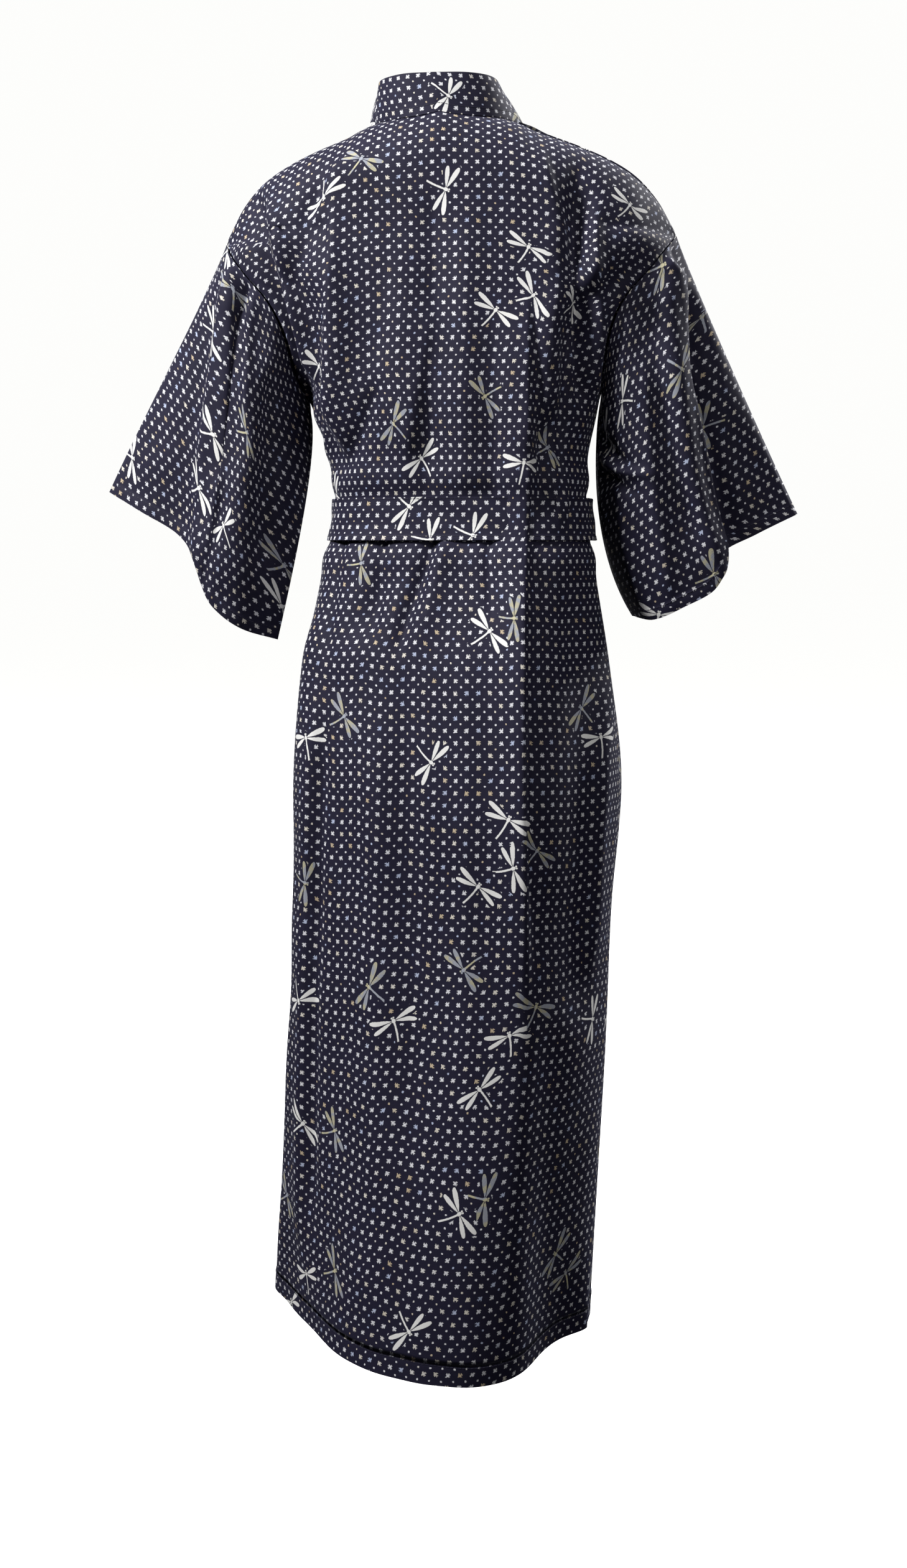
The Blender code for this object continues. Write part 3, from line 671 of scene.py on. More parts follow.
def ripple(at, kind, seed):
    """A smooth uneven rise at points, a sum of waves in uneven directions."""
    random = np.random.RandomState(seed)
    total = np.zeros(at.shape[:-1])
    for _ in range(9):
        way = unit(random.normal(size=3)) * 2 * math.pi / (kind.scale * random.uniform(0.7, 1.6))
        total = total + np.sin(at @ way + random.uniform(0, 2 * math.pi)) / 3
    return kind.rise * total


def crease_rise(piece, side, at):
    """Outward rise of the narrow creases on a piece at its points."""
    x, z = at[..., 0], at[..., 2]
    total = np.zeros(x.shape)
    for crease in CREASES.get((piece, side), ()):
        rise, left, right, fade = np.array(crease[:4]) / 1000
        path = np.reshape(crease.path, (-1, 2))[::-1] / 1000
        middle = np.interp(z, path[:, 1], path[:, 0])
        lean = np.interp(z, path[:-1, 1], np.abs(np.diff(path[:, 0]) / np.diff(path[:, 1])))
        offset = (x - middle) / np.sqrt(1 + lean * lean)
        top, bottom = path[-1, 1] + fade / 2, path[0, 1] - fade / 2
        ends = ease((top - z) / fade) * ease((z - bottom) / fade)
        total = total + rise * bump_across(offset / np.where(offset < 0, left, right), 1.6) * ends
    return total


def belt_puff(z):
    """The cloth swells out just above and below the belt that pulls it in."""
    total = 0.0
    for puff in BELT_PUFFS:
        away = (z - puff.edge) * puff.way
        swell = puff.rise * bump_across((away - puff.middle) / puff.width)
        total = total + np.where(away > 0, swell * ease(away / PUFF_START), 0.0)
    return total


def hem_row(z):
    """The row of a panel's grid where its hem is stitched."""
    return nearest_row(z[:, z.shape[1] // 2], HEM_Z + HEM_SEWN)


def nearest_row(heights, height):
    return int(np.argmin(np.abs(heights - height)))


def hem_step(z):
    """A turned hem lies a little further out than the cloth above it."""
    return np.where(z < HEM_Z + HEM_DEPTH, HEM_RISE, 0.0)


def grid(columns, rows):
    """Even places across, 0 to 1, and the given places down, as arrays of a piece's mesh."""
    return np.meshgrid(np.linspace(0, 1, columns + 1), rows)


def facing(points, outside, wrap=False):
    """Unit normals at a grid's points, turned to its outside, and the sign that did it, 1 or -1."""
    if wrap:
        ring = np.concatenate([points[:, -2:-1], points, points[:, 1:2]], axis=1)
        across = np.gradient(ring, axis=1)[:, 1:-1]
    else:
        across = np.gradient(points, axis=1)
    normals = unit(np.cross(across, np.gradient(points, axis=0)))
    way = -1 if float((normals * outside).sum(axis=-1).mean()) < 0 else 1
    return normals * way, way


def arc(points, axis, start):
    """Distance over the cloth along a grid's rows or columns, from one of them."""
    steps = np.linalg.norm(np.diff(points, axis=axis), axis=-1)
    total = np.cumsum(steps, axis=axis)
    total = np.concatenate([np.zeros_like(np.take(total, [0], axis=axis)), total], axis=axis)
    return total - np.take(total, [start], axis=axis)


def new_object(name, places, faces, *materials):
    """A mesh that moves with the root body."""
    mesh = bpy.data.meshes.new(name)
    mesh.from_pydata(places, [], faces)
    made = bpy.data.objects.new(name, mesh)
    bpy.context.scene.collection.objects.link(made)
    for material in materials:
        mesh.materials.append(material)
    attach(made, "root")
    return made


def new_cloth(name, places, faces, loop_r, loop_c, cloth, flies, *materials):
    """A smooth mesh of cloth with the print's place at the corners of its faces."""
    made = new_object(name, places.tolist(), faces.tolist(), *materials)
    mesh = made.data
    mesh.polygons.foreach_set("use_smooth", np.ones(len(faces), bool))
    layer = mesh.uv_layers.new(name=CLOTH_MAP)
    spots = cloth[loop_r.ravel(), loop_c.ravel()]
    layer.data.foreach_set("uv", spots.astype(np.float32).ravel())
    mark_flies(mesh, spots, flies)
    return made


def shell(name, points, cloth, wall, outside, flies, wrap=False):
    """A closed thin shell about a grid of points. cloth is the print's place at each of them, and
    outside is a way out of the robe there."""
    rows, columns = points.shape[:2]
    normals, way = facing(points, outside, wrap)
    kept = columns - 1 if wrap else columns
    outer = (points + normals * wall / 2)[:, :kept].reshape(-1, 3)
    inner = (points - normals * wall / 2)[:, :kept].reshape(-1, 3)
    r, c = [each.ravel() for each in np.meshgrid(np.arange(rows - 1), np.arange(columns - 1), indexing="ij")]
    front_r = np.stack([r, r + 1, r + 1, r], axis=1)[:, ::-way]
    front_c = np.stack([c, c, c + 1, c + 1], axis=1)[:, ::-way]
    pair = np.arange(columns - 1)[:, None] + (0, 1)
    edges = [(0 * pair, pair), (0 * pair + rows - 1, pair[:, ::-1])]
    if not wrap:
        pair = np.arange(rows - 1)[:, None] + (0, 1)
        edges += [(pair[:, ::-1], 0 * pair), (pair, 0 * pair + columns - 1)]
    edge_r, edge_c = [np.concatenate(each)[:, ::way] for each in zip(*edges)]
    loop_r = np.concatenate([front_r, front_r[:, ::-1], np.concatenate([edge_r, edge_r[:, ::-1]], axis=1)])
    loop_c = np.concatenate([front_c, front_c[:, ::-1], np.concatenate([edge_c, edge_c[:, ::-1]], axis=1)])
    within = np.zeros(loop_r.shape, int)
    within[len(front_r):2 * len(front_r)] = 1
    within[2 * len(front_r):, 2:] = 1
    faces = loop_r * kept + loop_c % kept + within * len(outer)
    piece = new_cloth(
        name, np.concatenate([outer, inner]), faces, loop_r, loop_c, cloth, flies, printed, reverse
    )
    mesh = piece.data
    material = np.zeros(len(faces), np.int32)
    material[len(front_r):2 * len(front_r)] = 1
    mesh.polygons.foreach_set("material_index", material)
    at = edge_r * kept + edge_c % kept
    rim = {tuple(sorted(ends)) for ends in np.concatenate([at, at + len(outer)]).tolist()}
    ends = np.empty(len(mesh.edges) * 2, np.int32)
    mesh.edges.foreach_get("vertices", ends)
    sharp = [tuple(sorted(pair)) in rim for pair in ends.reshape(-1, 2).tolist()]
    attribute = mesh.attributes.new("sharp_edge", "BOOLEAN", "EDGE")
    attribute.data.foreach_set("value", np.array(sharp, bool))
    return piece


def mark_flies(mesh, spots, flies):
    """Gives each face the place of its corners about the nearest dragonfly of the print."""
    values = np.full((len(spots), 3), 9.0, np.float32)
    values[:, 2] = 0.0
    if flies:
        centres = np.array([(fly.u, fly.v) for fly in flies])
        middle = spots.reshape(-1, 4, 2).mean(axis=1)
        away = np.linalg.norm(middle[:, None] - centres[None], axis=2)
        chosen = np.repeat(away.argmin(axis=1), 4)
        held = np.repeat(away.min(axis=1) < FLY_REACH, 4)
        angle = np.radians([fly.angle for fly in flies])[chosen]
        size = np.array([fly.size for fly in flies])[chosen] / 100
        u, v = (spots - centres[chosen]).T
        values[held, 0] = ((u * np.cos(angle) + v * np.sin(angle)) / size)[held]
        values[held, 1] = ((v * np.cos(angle) - u * np.sin(angle)) / size)[held]
        values[held, 2] = np.array([fly.tone for fly in flies])[chosen][held]
    attribute = mesh.attributes.new(FLY_MAP, "FLOAT_VECTOR", "CORNER")
    attribute.data.foreach_set("vector", values.ravel())


PlacedFly = namedtuple("PlacedFly", "u v angle tone size")


def flies_on(piece, points, cloth, seen):
    """The charted dragonflies of a piece, found on its seen cloth by their x and z."""

    def nearest(x, z):
        gap = (points[..., 0] - x) ** 2 + (points[..., 2] - z) ** 2
        return np.unravel_index(np.where(seen, gap, 9.0).argmin(), gap.shape)

    placed = []
    for number, fly in enumerate(FLIES):
        if fly.piece == piece:
            x, z, way = fly.x / 1000, fly.z / 1000, math.radians(fly.angle)
            spot = cloth[nearest(x, z)]
            turn = cloth[nearest(x - 0.02 * math.cos(way), z + 0.02 * math.sin(way))] - spot
            angle = math.degrees(math.atan2(turn[1], turn[0])) if np.hypot(*turn) > 0.004 else fly.angle
            placed.append(PlacedFly(*spot, angle, fly.tone, 1.0 + 0.05 * math.sin(number * 2.4)))
    return placed


def scattered_flies(cloth, seed, taken=(), spacing=0.105):
    """Dragonflies over cloth whose own can't be seen, as thinly spread as on the rest."""
    random = np.random.RandomState(seed)
    low = cloth.reshape(-1, 2).min(axis=0)
    high = cloth.reshape(-1, 2).max(axis=0)
    placed = list(taken)
    for u in np.arange(low[0], high[0] + spacing, spacing):
        for v in np.arange(low[1], high[1] + spacing, spacing):
            spot = np.array([u, v]) + random.uniform(-0.4, 0.4, 2) * spacing
            angle = random.uniform(-180, 180)
            tone = 1.0 if random.uniform() < 0.6 else 2.0
            if all(np.hypot(spot[0] - p.u, spot[1] - p.v) > FLY_APART for p in placed):
                placed.append(PlacedFly(*spot, angle, tone, 1.0))
    return placed


def worn_cloth(points, middle_column, heights, way):
    """The print's place on body cloth: across from a column, up from the belt."""
    across = arc(points, 1, middle_column) * way
    gather = along(GATHER, points[..., 2], "more")
    belt_row = nearest_row(heights[:, middle_column], BELT_TOP_Z)
    return np.stack([across * gather, -arc(points, 0, belt_row)], axis=-1)


def stitch(name, *lines):
    """Rows of stitches, each a small raised bar of thread lying along a line on the cloth's outer face."""
    places, faces = [], []
    for line, out in lines:
        length = np.concatenate([[0], np.cumsum(np.linalg.norm(np.diff(line, axis=0), axis=1))])
        starts = np.arange(STITCH_START, length[-1] - STITCH_LONG, STITCH_LONG + STITCH_GAP)

        def at(values, ahead):
            return np.stack([np.interp(starts + ahead, length, column) for column in values.T], axis=1)

        head, tail, rise = at(line, 0), at(line, STITCH_LONG), unit(at(out, STITCH_LONG / 2))
        beside = unit(np.cross(tail - head, rise)) * STITCH_WIDE / 2
        for k in range(len(starts)):
            faces += [[len(places) + corner for corner in face] for face in STITCH_FACES]
            for end in (head[k], tail[k]):
                for lift, way in STITCH_CORNERS:
                    places.append(plain(end + rise[k] * lift + beside[k] * way))
    new_object(name, places, faces, thread)


def sewn_row(points, row, outside, wall=CLOTH_WALL, wrap=False):
    """A row of a grid of cloth as a line for stitches on its outer face, with the way out there."""
    normals, _ = facing(points, outside, wrap)
    kept = slice(None) if wrap else slice(1, -1)
    return (points + normals * wall / 2)[row, kept], normals[row, kept]


def make_back():
    u, row = panel_grid(BACK_CELLS)
    across = mix(-1, 1, u)
    edge = math.radians(BODY[0].edge_angle)
    x = BODY[0].half_width * np.sin(across * edge) / math.sin(edge)
    hole_z = neck_edge_z(x, NECK_CLOTH_HALF_WIDTH, NECK_CLOTH_DEPTH)
    top = np.where(np.abs(x) < NECK_CLOTH_HALF_WIDTH, hole_z, along(SHOULDER, np.abs(x), "z"))
    z = panel_z(np.maximum(top, SLEEVE_TOP_Z), row)
    flat = torso(across, z, 1)
    inside = ease((1 - np.abs(across)) / 0.06) * ease(row / 1.5)
    rise = crease_rise("back", 1, flat) + ripple(flat * TALL, BACK_RIPPLE, 3)
    points = torso(across, z, 1, rise * inside + hem_step(z) + belt_puff(z))
    points[:, 0] += SEAM_TUCK
    points[:, -1] += SEAM_TUCK * (-1, 1, 1)
    cloth = worn_cloth(points, BACK_CELLS.across // 2, z, -1)
    flies = flies_on("back", points, cloth, True)
    piece = shell("robe_back", points, cloth, CLOTH_WALL, (0, 1, 0), flies)
    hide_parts("back")
    stitch("hem_stitches_back", sewn_row(points, hem_row(z), (0, 1, 0)))


def inner_inset(x, z):
    """How deep the right front's cloth lies at x, so that it passes under the left front."""
    edge = along(FRONT_EDGE, z, "free")
    return -INNER_INSET * ease((x - edge + INSET_RUN + INSET_START) / INSET_RUN)


def front_point(x, z, hand, out=0.0):
    """Points of a front's cloth at a distance x from the middle, seen on the left hand's front."""
    side_x = hand * x
    inset = inner_inset(side_x, z) if hand < 0 else 0.0
    return torso(across_at(side_x, z), z, -1, out + inset)


def overlap_seam_x(z):
    return OVERLAP_SEAM_X * ease((YOKE_Z - z) / OVERLAP_SEAM_RUN)


def front_rise(piece, x, z, hand, edge_share):
    """Rise of a front's cloth. It swells beside the belt only where no band lies on it."""
    flat = front_point(x, z, hand)
    rise = crease_rise(piece, -1, flat) + ripple(flat * TALL, FRONT_RIPPLE, 5 + hand)
    puffed = ease((x - along(FRONT_EDGE, z, "seam") - 0.012) / 0.02)
    if hand < 0:
        puffed = puffed * ease((x + 0.13) / 0.02)
    return rise * ease(edge_share / 0.10) + hem_step(z) + belt_puff(z) * puffed


def make_front(hand, piece):
    u, row = panel_grid(FRONT_CELLS)
    ridge_x = mix(along(BODY, 0.0, "half_width"), NECK_CLOTH_HALF_WIDTH + 0.001, u)
    z = panel_z(np.maximum(along(SHOULDER, ridge_x, "z"), SLEEVE_TOP_Z), row)
    side_z = panel_z(SLEEVE_TOP_Z, row)
    neck_z = panel_z(along(SHOULDER, NECK_CLOTH_HALF_WIDTH, "z"), row)
    inner = np.where(row < YOKE_ROWS, along(FRONT_EDGE, neck_z, "panel"), overlap_seam_x(neck_z))
    x = mix(along(BODY, side_z, "half_width"), inner, u)
    rise = front_rise(piece, x, z, hand, np.minimum(u, 1 - u) * ease(row / 1.5))
    points = front_point(x, z, hand, rise)
    cloth = worn_cloth(points, 0, z, -hand)
    made = shell("robe_" + piece, points, cloth, CLOTH_WALL, (0, -1, 0), scattered_flies(cloth, 21 + hand))
    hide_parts(piece)
    stitch("hem_stitches_" + piece, sewn_row(points, hem_row(z), (0, -1, 0)))


def make_overlap(hand, piece):
    u, row = panel_grid(OVERLAP_CELLS, YOKE_ROWS)
    z = panel_z(0.0, row)
    x = mix(overlap_seam_x(z) - SEAM_GAP, along(FRONT_EDGE, z, "panel"), u)
    points = front_point(x, z, hand, front_rise(piece, x, z, hand, np.minimum(u, 1 - u)))
    cloth = worn_cloth(points, 0, z, -hand) + (0.31, 0.05 * hand)
    made = shell("robe_" + piece, points, cloth, CLOTH_WALL, (0, -1, 0), scattered_flies(cloth, 31 + hand))
    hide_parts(piece)
    stitch("hem_stitches_" + piece, sewn_row(points, hem_row(z), (0, -1, 0)))


def sleeve_fold(share, v, side):
    total = np.zeros(np.broadcast(share, v).shape)
    for fold in SLEEVE_FOLDS:
        if fold.side == side:
            offset = (share - mix(fold.share_top, fold.share_cuff, v)) / fold.width
            ends = ease((v - fold.start) / SLEEVE_FADE) * ease((fold.end - v) / SLEEVE_FADE)
            total = total + fold.rise * bump_across(offset) * ends
    return total * np.sin(math.pi * share)


def sleeve_side(hand, cuff, inner_lean, share, v, side):
    """Points on one side of a sleeve, its back for 1 and its front for -1."""
    z = panel_z(SLEEVE_TOP_Z, share * SEWN_ROWS)
    opened = np.sqrt(np.maximum(np.sin(math.pi * share), 0.0))
    seam = torso(hand, z, side)
    out = unit(seam - torso(hand * 0.97, z, side))
    down = unit(torso(hand, z - 0.004, side) - seam)
    seam[..., 1] *= ease(np.minimum(share, 1 - share) * 40)
    out[..., 1] *= opened
    down[..., 1] *= opened
    out = mix(np.broadcast_to(SHOULDER_SLOPE, out.shape), out, ease(share * 3)[..., None])
    out[..., 0] = hand * np.abs(out[..., 0])
    start = seam + out * SLEEVE_GAP + point(hand * ARMPIT_CLEARANCE * ease(share * 3 - 1.6), 0.0, 0.0)
    y = along(cuff, share, "back_y" if side > 0 else "front_y")
    end = point(hand * along(cuff, share, "x"), y, along(cuff, share, "z"))
    leave = unit(scaled(out, 1 - share * 0.8) + scaled(down, 0.5 + 0.5 * share))
    arrive = unit(point(hand * mix(OUTER_LEAN, inner_lean, share), 0.0, -0.95))
    points = cubic(start, leave * LEAVE_PULL, end, arrive * ARRIVE_PULL, v[..., None])
    bulge = SLEEVE_BULGE * opened * np.sin(math.pi * v)
    points[..., 1] += side * (bulge + sleeve_fold(share, v, side))
    return points


def sleeve_cloth(hand, points, flat, cuff, print_turn):
    """The print's place on a sleeve. It follows the cloth round the arm, and on the back, as seen, it
    stays level where the cloth turns away only a little. Also the print's fall from the upper edge."""
    turn = math.radians(print_turn)
    arm = np.array([hand * math.sin(turn), -math.cos(turn)])
    fall = np.array([-hand * math.cos(turn), -math.sin(turn)])
    plane = flat[..., [0, 2]] - (hand * along(cuff, 0.0, "x"), along(cuff, 0.0, "z"))
    ahead = -(plane @ arm)
    steps = (np.diff(points, axis=1) ** 2).sum(axis=-1) - np.diff(ahead, axis=1) ** 2
    steps = np.sqrt(np.maximum(steps, 1e-12))
    seen_steps = np.minimum(np.abs(np.diff(plane @ fall, axis=1)), steps)
    reach = np.cumsum(mix(steps, seen_steps, ease((seen_steps / steps - 0.40) / 0.25)), axis=1)
    reach = np.concatenate([np.zeros((len(reach), 1)), reach], axis=1)
    home = slice(SLEEVE_CELLS.across // 4, SLEEVE_CELLS.across // 4 + 1)
    drop = (plane @ fall)[:, home] - (reach - reach[:, home])
    return np.stack([-hand * drop, ahead], axis=-1), drop


def make_sleeve(hand, piece, cuff, inner_lean, print_turn):
    down = np.concatenate([np.linspace(0, 0.955, SLEEVE_CELLS.down - 3), CUFF_SEWN_ROWS])
    u, v = grid(SLEEVE_CELLS.across, down)
    share = 1 - np.abs(2 * u - 1)
    share[:, [0, -1]] = 0.0
    on_back = u <= 0.5
    sides = [sleeve_side(hand, cuff, inner_lean, share, v, side) for side in (1, -1)]
    flat = np.where(on_back[..., None], *sides)
    rise = np.where(on_back, crease_rise(piece, 1, flat), crease_rise(piece, -1, flat))
    rise = (rise + ripple(flat, SLEEVE_RIPPLE, 11 + hand)) * ease(np.minimum(share, 1 - share) / 0.12)
    hem = np.where(v > CUFF_HEM_SHARE, HEM_RISE, 0.0) * (share > 0.02) * (share < 0.98)
    ring_out = flat - flat.mean(axis=1, keepdims=True)
    points = flat + scaled(facing(flat, ring_out, True)[0], rise * ease(v / 0.10) + hem)
    points[:, -1] = points[:, 0]
    cloth, drop = sleeve_cloth(hand, points, flat, cuff, print_turn)
    middle = SLEEVE_CELLS.across // 2
    seen = flies_on(piece, points, cloth, on_back)
    lower_edge = float(drop[:, middle].mean()) - 0.03
    hidden = scattered_flies(cloth[:, middle:], 41 + hand, seen)
    flies = seen + [fly for fly in hidden if -hand * fly.u < lower_edge]
    made = shell("robe_" + piece, points, cloth, CLOTH_WALL, ring_out, flies, wrap=True)
    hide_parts(piece)
    stitch("cuff_stitches_" + piece, sewn_row(points, SLEEVE_CELLS.down - 3, ring_out, wrap=True))


def band_point(step, v, hand):
    """Points of the neckband: v is 0 on its seam and 1 on its free edge."""
    standing = np.minimum(step, STANDING_STEPS)
    free = point(*[along(COLLAR, standing, name) for name in ("free_x", "free_y", "free_z")])
    free[..., 0] = hand * free[..., 0] + COLLAR_SHIFT * ease((STANDING_STEPS - standing) / 2)
    lift = LAYER + BAND_RIDGE_LIFT * ease(1 - np.abs(step - BAND_LIFT_STEP) / 3)
    sewn_share = ease(1 - v / BAND_SEWN_SHARE)

    def stand(base, sewn):
        """Cloth from a base to the free edge, drawn down to the sewn line beside its seam."""
        cloth = mix(base, free, v[..., None])
        return mix(cloth, sewn, sewn_share[..., None])

    near_x = along(COLLAR, np.minimum(step, RIDGE_STEP), "seam_x")
    near_z = neck_edge_z(near_x) - BAND_LAP * (1 - np.minimum(step, RIDGE_STEP) / RIDGE_STEP)
    sewn_z = near_z - BAND_SEWN_LAP * np.maximum(1 - step / RIDGE_STEP, 0) ** 2
    sewn_lift = mix(BAND_SEWN_LIFT, BAND_RIDGE_SEWN_LIFT, ease((step - 1.2) / 1.4))
    near = stand(
        torso(across_at(hand * near_x, near_z), near_z, 1, lift),
        torso(across_at(hand * near_x, sewn_z), sewn_z, 1, sewn_lift),
    )
    share = np.maximum(step - STANDING_STEPS, 0) / (LAST_STEP - STANDING_STEPS)
    top = along(SHOULDER, COLLAR[-1].seam_x, "z") - along(COLLAR, standing, "drop")
    z = mix(top, BAND_END_Z, share)
    seam_x = along(FRONT_EDGE, z, "seam")
    free_z = z + BAND_SLANT * (1 - share) ** 2
    laid_x = mix(seam_x, along(FRONT_EDGE, free_z, "free"), v)
    down = ease(step - STANDING_STEPS)[..., None]

    def lying(way):
        """The band on one front: standing at its shoulder and laid flat on it below."""
        stood = stand(front_point(seam_x, z, way, lift), front_point(seam_x, z, way, BAND_RIDGE_SEWN_LIFT))
        return stood * (1 - down) + front_point(laid_x, mix(z, free_z, v), way, LAYER) * down

    far = np.where((hand > 0)[..., None], lying(1), lying(-1))
    return np.where((step <= RIDGE_STEP)[..., None], near, far)


def make_neckband():
    u, v = grid(BAND_CELLS.across, np.linspace(0, 1, BAND_CELLS.down + 1))
    points = band_point(np.abs(2 * u - 1) * LAST_STEP, v, np.where(u >= 0.5, 1.0, -1.0))
    roll = 0.0010 * np.sin(math.pi * v) + ripple(points, BAND_RIPPLE, 8)
    ring_out = points * (1, 1, 0)
    points = points + scaled(facing(points, ring_out)[0], roll)
    run = -arc(points, 1, BAND_CELLS.across // 2)[BAND_CELLS.down // 2]
    cloth = np.stack([run + 0 * u, arc(points, 0, 0)], axis=-1)
    flies = flies_on("neckband", points, cloth, points[..., 1] > 0)
    for number, fly in enumerate(scattered_flies(cloth, 51, spacing=0.13)):
        if abs(fly.u) > 0.12:
            flies.append(fly._replace(v=0.02 + 0.03 * (number % 2)))
    made = shell("robe_neckband", points, cloth, FOLDED_WALL, ring_out, flies)
    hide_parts("neckband")
    stitch("neckband_stitches", sewn_row(points, 2, ring_out, FOLDED_WALL))


def belt_side(across, z, side, out):
    """Points on the belt's back for side 1 and on its front for side -1."""
    front_out = mix(BELT_OUT_BACK, BELT_OUT_FRONT, ease((0.95 - np.abs(across)) / 0.25))
    lift = out + (BELT_OUT_BACK if side > 0 else front_out)
    return smooth_torso(across, z, side) + scaled(outward(across, BELT_MIDDLE_Z + 0 * z, side), lift)


def make_belt():
    edge = (0, 0.012, 0.10, 0.112)
    down = np.concatenate([edge, np.linspace(0.16, 0.96, BELT_CELLS.down - 4), [1.0]])
    u, v = grid(BELT_CELLS.across, down)
    z = mix(BELT_BOTTOM_Z, BELT_TOP_Z, v)
    on_back = u <= 0.5
    across = np.where(on_back, -1 + 4 * u, 3 - 4 * u)
    out = 0.0006 * np.sin(v * 9 + 5 * np.sin(u * 14)) + np.where(v < 0.105, 0.0004, 0.0)
    points = np.where(on_back[..., None], *[belt_side(across, z, side, out) for side in (1, -1)])
    points[..., 2] += 0.00045 * np.sin(u * 40) * np.sin(u * 17 + 1) * np.sin(math.pi * v)
    points[:, -1] = points[:, 0]
    run = -arc(points, 1, BELT_CELLS.across // 4)[BELT_CELLS.down // 2]
    cloth = np.stack([run + 0 * u, arc(points, 0, 0) + 0.004], axis=-1)
    flies = flies_on("belt", points, cloth, on_back)
    flies += [fly for fly in scattered_flies(cloth, 61, spacing=0.12) if fly.u < -0.22]
    ring_out = points * (1, 1, 0)
    made = shell("robe_belt", points, cloth, FOLDED_WALL, ring_out, flies, wrap=True)
    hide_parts("belt")
    rows = (2, BELT_CELLS.down - 1)
    stitch("belt_stitches", *[sewn_row(points, row, ring_out, FOLDED_WALL, wrap=True) for row in rows])


def squared(value):
    """A sine or cosine with its round drawn out into corners."""
    return np.sign(value) * np.abs(value) ** KNOT_SQUARENESS


def make_knot():
    """The belt's knot: a bundle of the folded belt, with a turn of it passed down over its middle."""
    width, depth, height = KNOT_SIZE
    level = np.array(BELT_MIDDLE_Z)
    way_out = outward(across_at(KNOT_X, BELT_MIDDLE_Z), level, -1)
    centre = front_point(np.array(KNOT_X), level, 1, BELT_OUT_FRONT + BELT_WALL / 2 + depth / 2 + KNOT_SEAT)
    u, v = grid(KNOT_CELLS.across, np.linspace(0, 1, KNOT_CELLS.down + 1))
    around, up = u * 2 * math.pi, (v - 0.5) * math.pi
    reach = squared(np.cos(up))
    x, y, z = reach * squared(np.cos(around)), reach * squared(np.sin(around)), squared(np.sin(up))
    pleat = 0.045 * np.sin(x * 9 + z * 2.2) * (1 - np.abs(z) ** 4)
    groove = -0.10 * bump_across((np.abs(x + 0.12 * z) - 0.55) / 0.07)
    x, y = x * width / 2 * (1 - 0.10 * z * z), y * depth / 2 * (1 + pleat + groove)
    points = turned(x, y, z * height / 2, math.atan2(way_out[0], -way_out[1])) + centre
    points[:, -1] = points[:, 0]
    cloth = np.stack([x + 0.02 * z, z * height / 2], axis=-1)
    rows, columns = np.arange(KNOT_CELLS.down), np.arange(KNOT_CELLS.across)
    r, c = [each.ravel() for each in np.meshgrid(rows, columns, indexing="ij")]
    loop_r = np.stack([r, r, r + 1, r + 1], axis=1)
    loop_c = np.stack([c, c + 1, c + 1, c], axis=1)
    faces = loop_r * KNOT_CELLS.across + loop_c % KNOT_CELLS.across
    places = points[:, :-1].reshape(-1, 3)
    knot = new_cloth("robe_belt_knot", places, faces, loop_r, loop_c, cloth, [], printed)
    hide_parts("belt_knot")


def make_belt_end(end, seed):
    u, fall = grid(END_CELLS.across, np.linspace(0, 1, END_CELLS.down + 1))
    top = BELT_MIDDLE_Z - KNOT_SIZE[2] / 2 - SEAM_GAP
    width = mix(0.65 * BELT_END_WIDTH, BELT_END_WIDTH, ease(fall * 4))
    x = KNOT_X + (u - 0.5) * width + end.lean * ease(fall * 1.4)
    z = top - fall * end.length
    lift = mix(end.top_lift, end.lift, ease(fall * 3))
    tuck = 0.0016 * np.cos((u - 0.5) * 3 * math.pi) * (1 - ease(fall * 2.2))
    sway = 0.0012 * np.sin(fall * 9 + seed) * ease(fall * 3)
    points = front_point(x, z, 1, lift + tuck + sway)
    points[..., 2] = z
    cloth = np.stack([-arc(points, 1, END_CELLS.across // 2), -arc(points, 0, 0) + 0.1 * seed], axis=-1)
    flies = scattered_flies(cloth, 71 + seed, spacing=0.09)
    made = shell("robe_" + end.name, points, cloth, FOLDED_WALL, (0, -1, 0), flies)
    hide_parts(end.name)


class Value:
    """An output of a shader node, taken in sums as a number is."""

    def __init__(self, socket):
        self.socket = socket

    def __add__(self, other):
        return math_node("ADD", self, other)

    def __sub__(self, other):
        return math_node("SUBTRACT", self, other)

    def __rsub__(self, other):
        return math_node("SUBTRACT", other, self)

    def __mul__(self, other):
        return math_node("MULTIPLY", self, other)

    def __truediv__(self, other):
        return math_node("DIVIDE", self, other)

    def __abs__(self):
        return math_node("ABSOLUTE", self)


def put(socket, value):
    if isinstance(value, Value):
        socket.id_data.links.new(value.socket, socket)
    else:
        socket.default_value = value


def fill(made, values):
    for name, value in values.items():
        put(made.inputs[name], value)


def node(kind, *inputs, tree=None, **settings):
    """A new shader node, in the tree of its inputs if none is given."""
    if tree is None:
        tree = next(value.socket.id_data for value in inputs if isinstance(value, Value))
    made = tree.nodes.new(kind)
    for key, value in settings.items():
        setattr(made, key, value)
    for socket, value in zip(made.inputs, inputs):
        put(socket, value)
    return made


def math_node(operation, *values, clamp=False):
    return Value(node("ShaderNodeMath", *values, operation=operation, use_clamp=clamp).outputs[0])


def low(a, b):
    return math_node("MINIMUM", a, b)


def high(a, b):
    return math_node("MAXIMUM", a, b)


def length_of(a, b):
    return math_node("SQRT", a * a + b * b)


def soft(value, width):
    """0 to 1 across an edge of this width at 0."""
    return math_node("MULTIPLY_ADD", value, 1 / width, 0.5, clamp=True)


def split(vector):
    return [Value(socket) for socket in node("ShaderNodeSeparateXYZ", vector).outputs]


def join(x, y, z=0.0):
    return Value(node("ShaderNodeCombineXYZ", x, y, z).outputs[0])


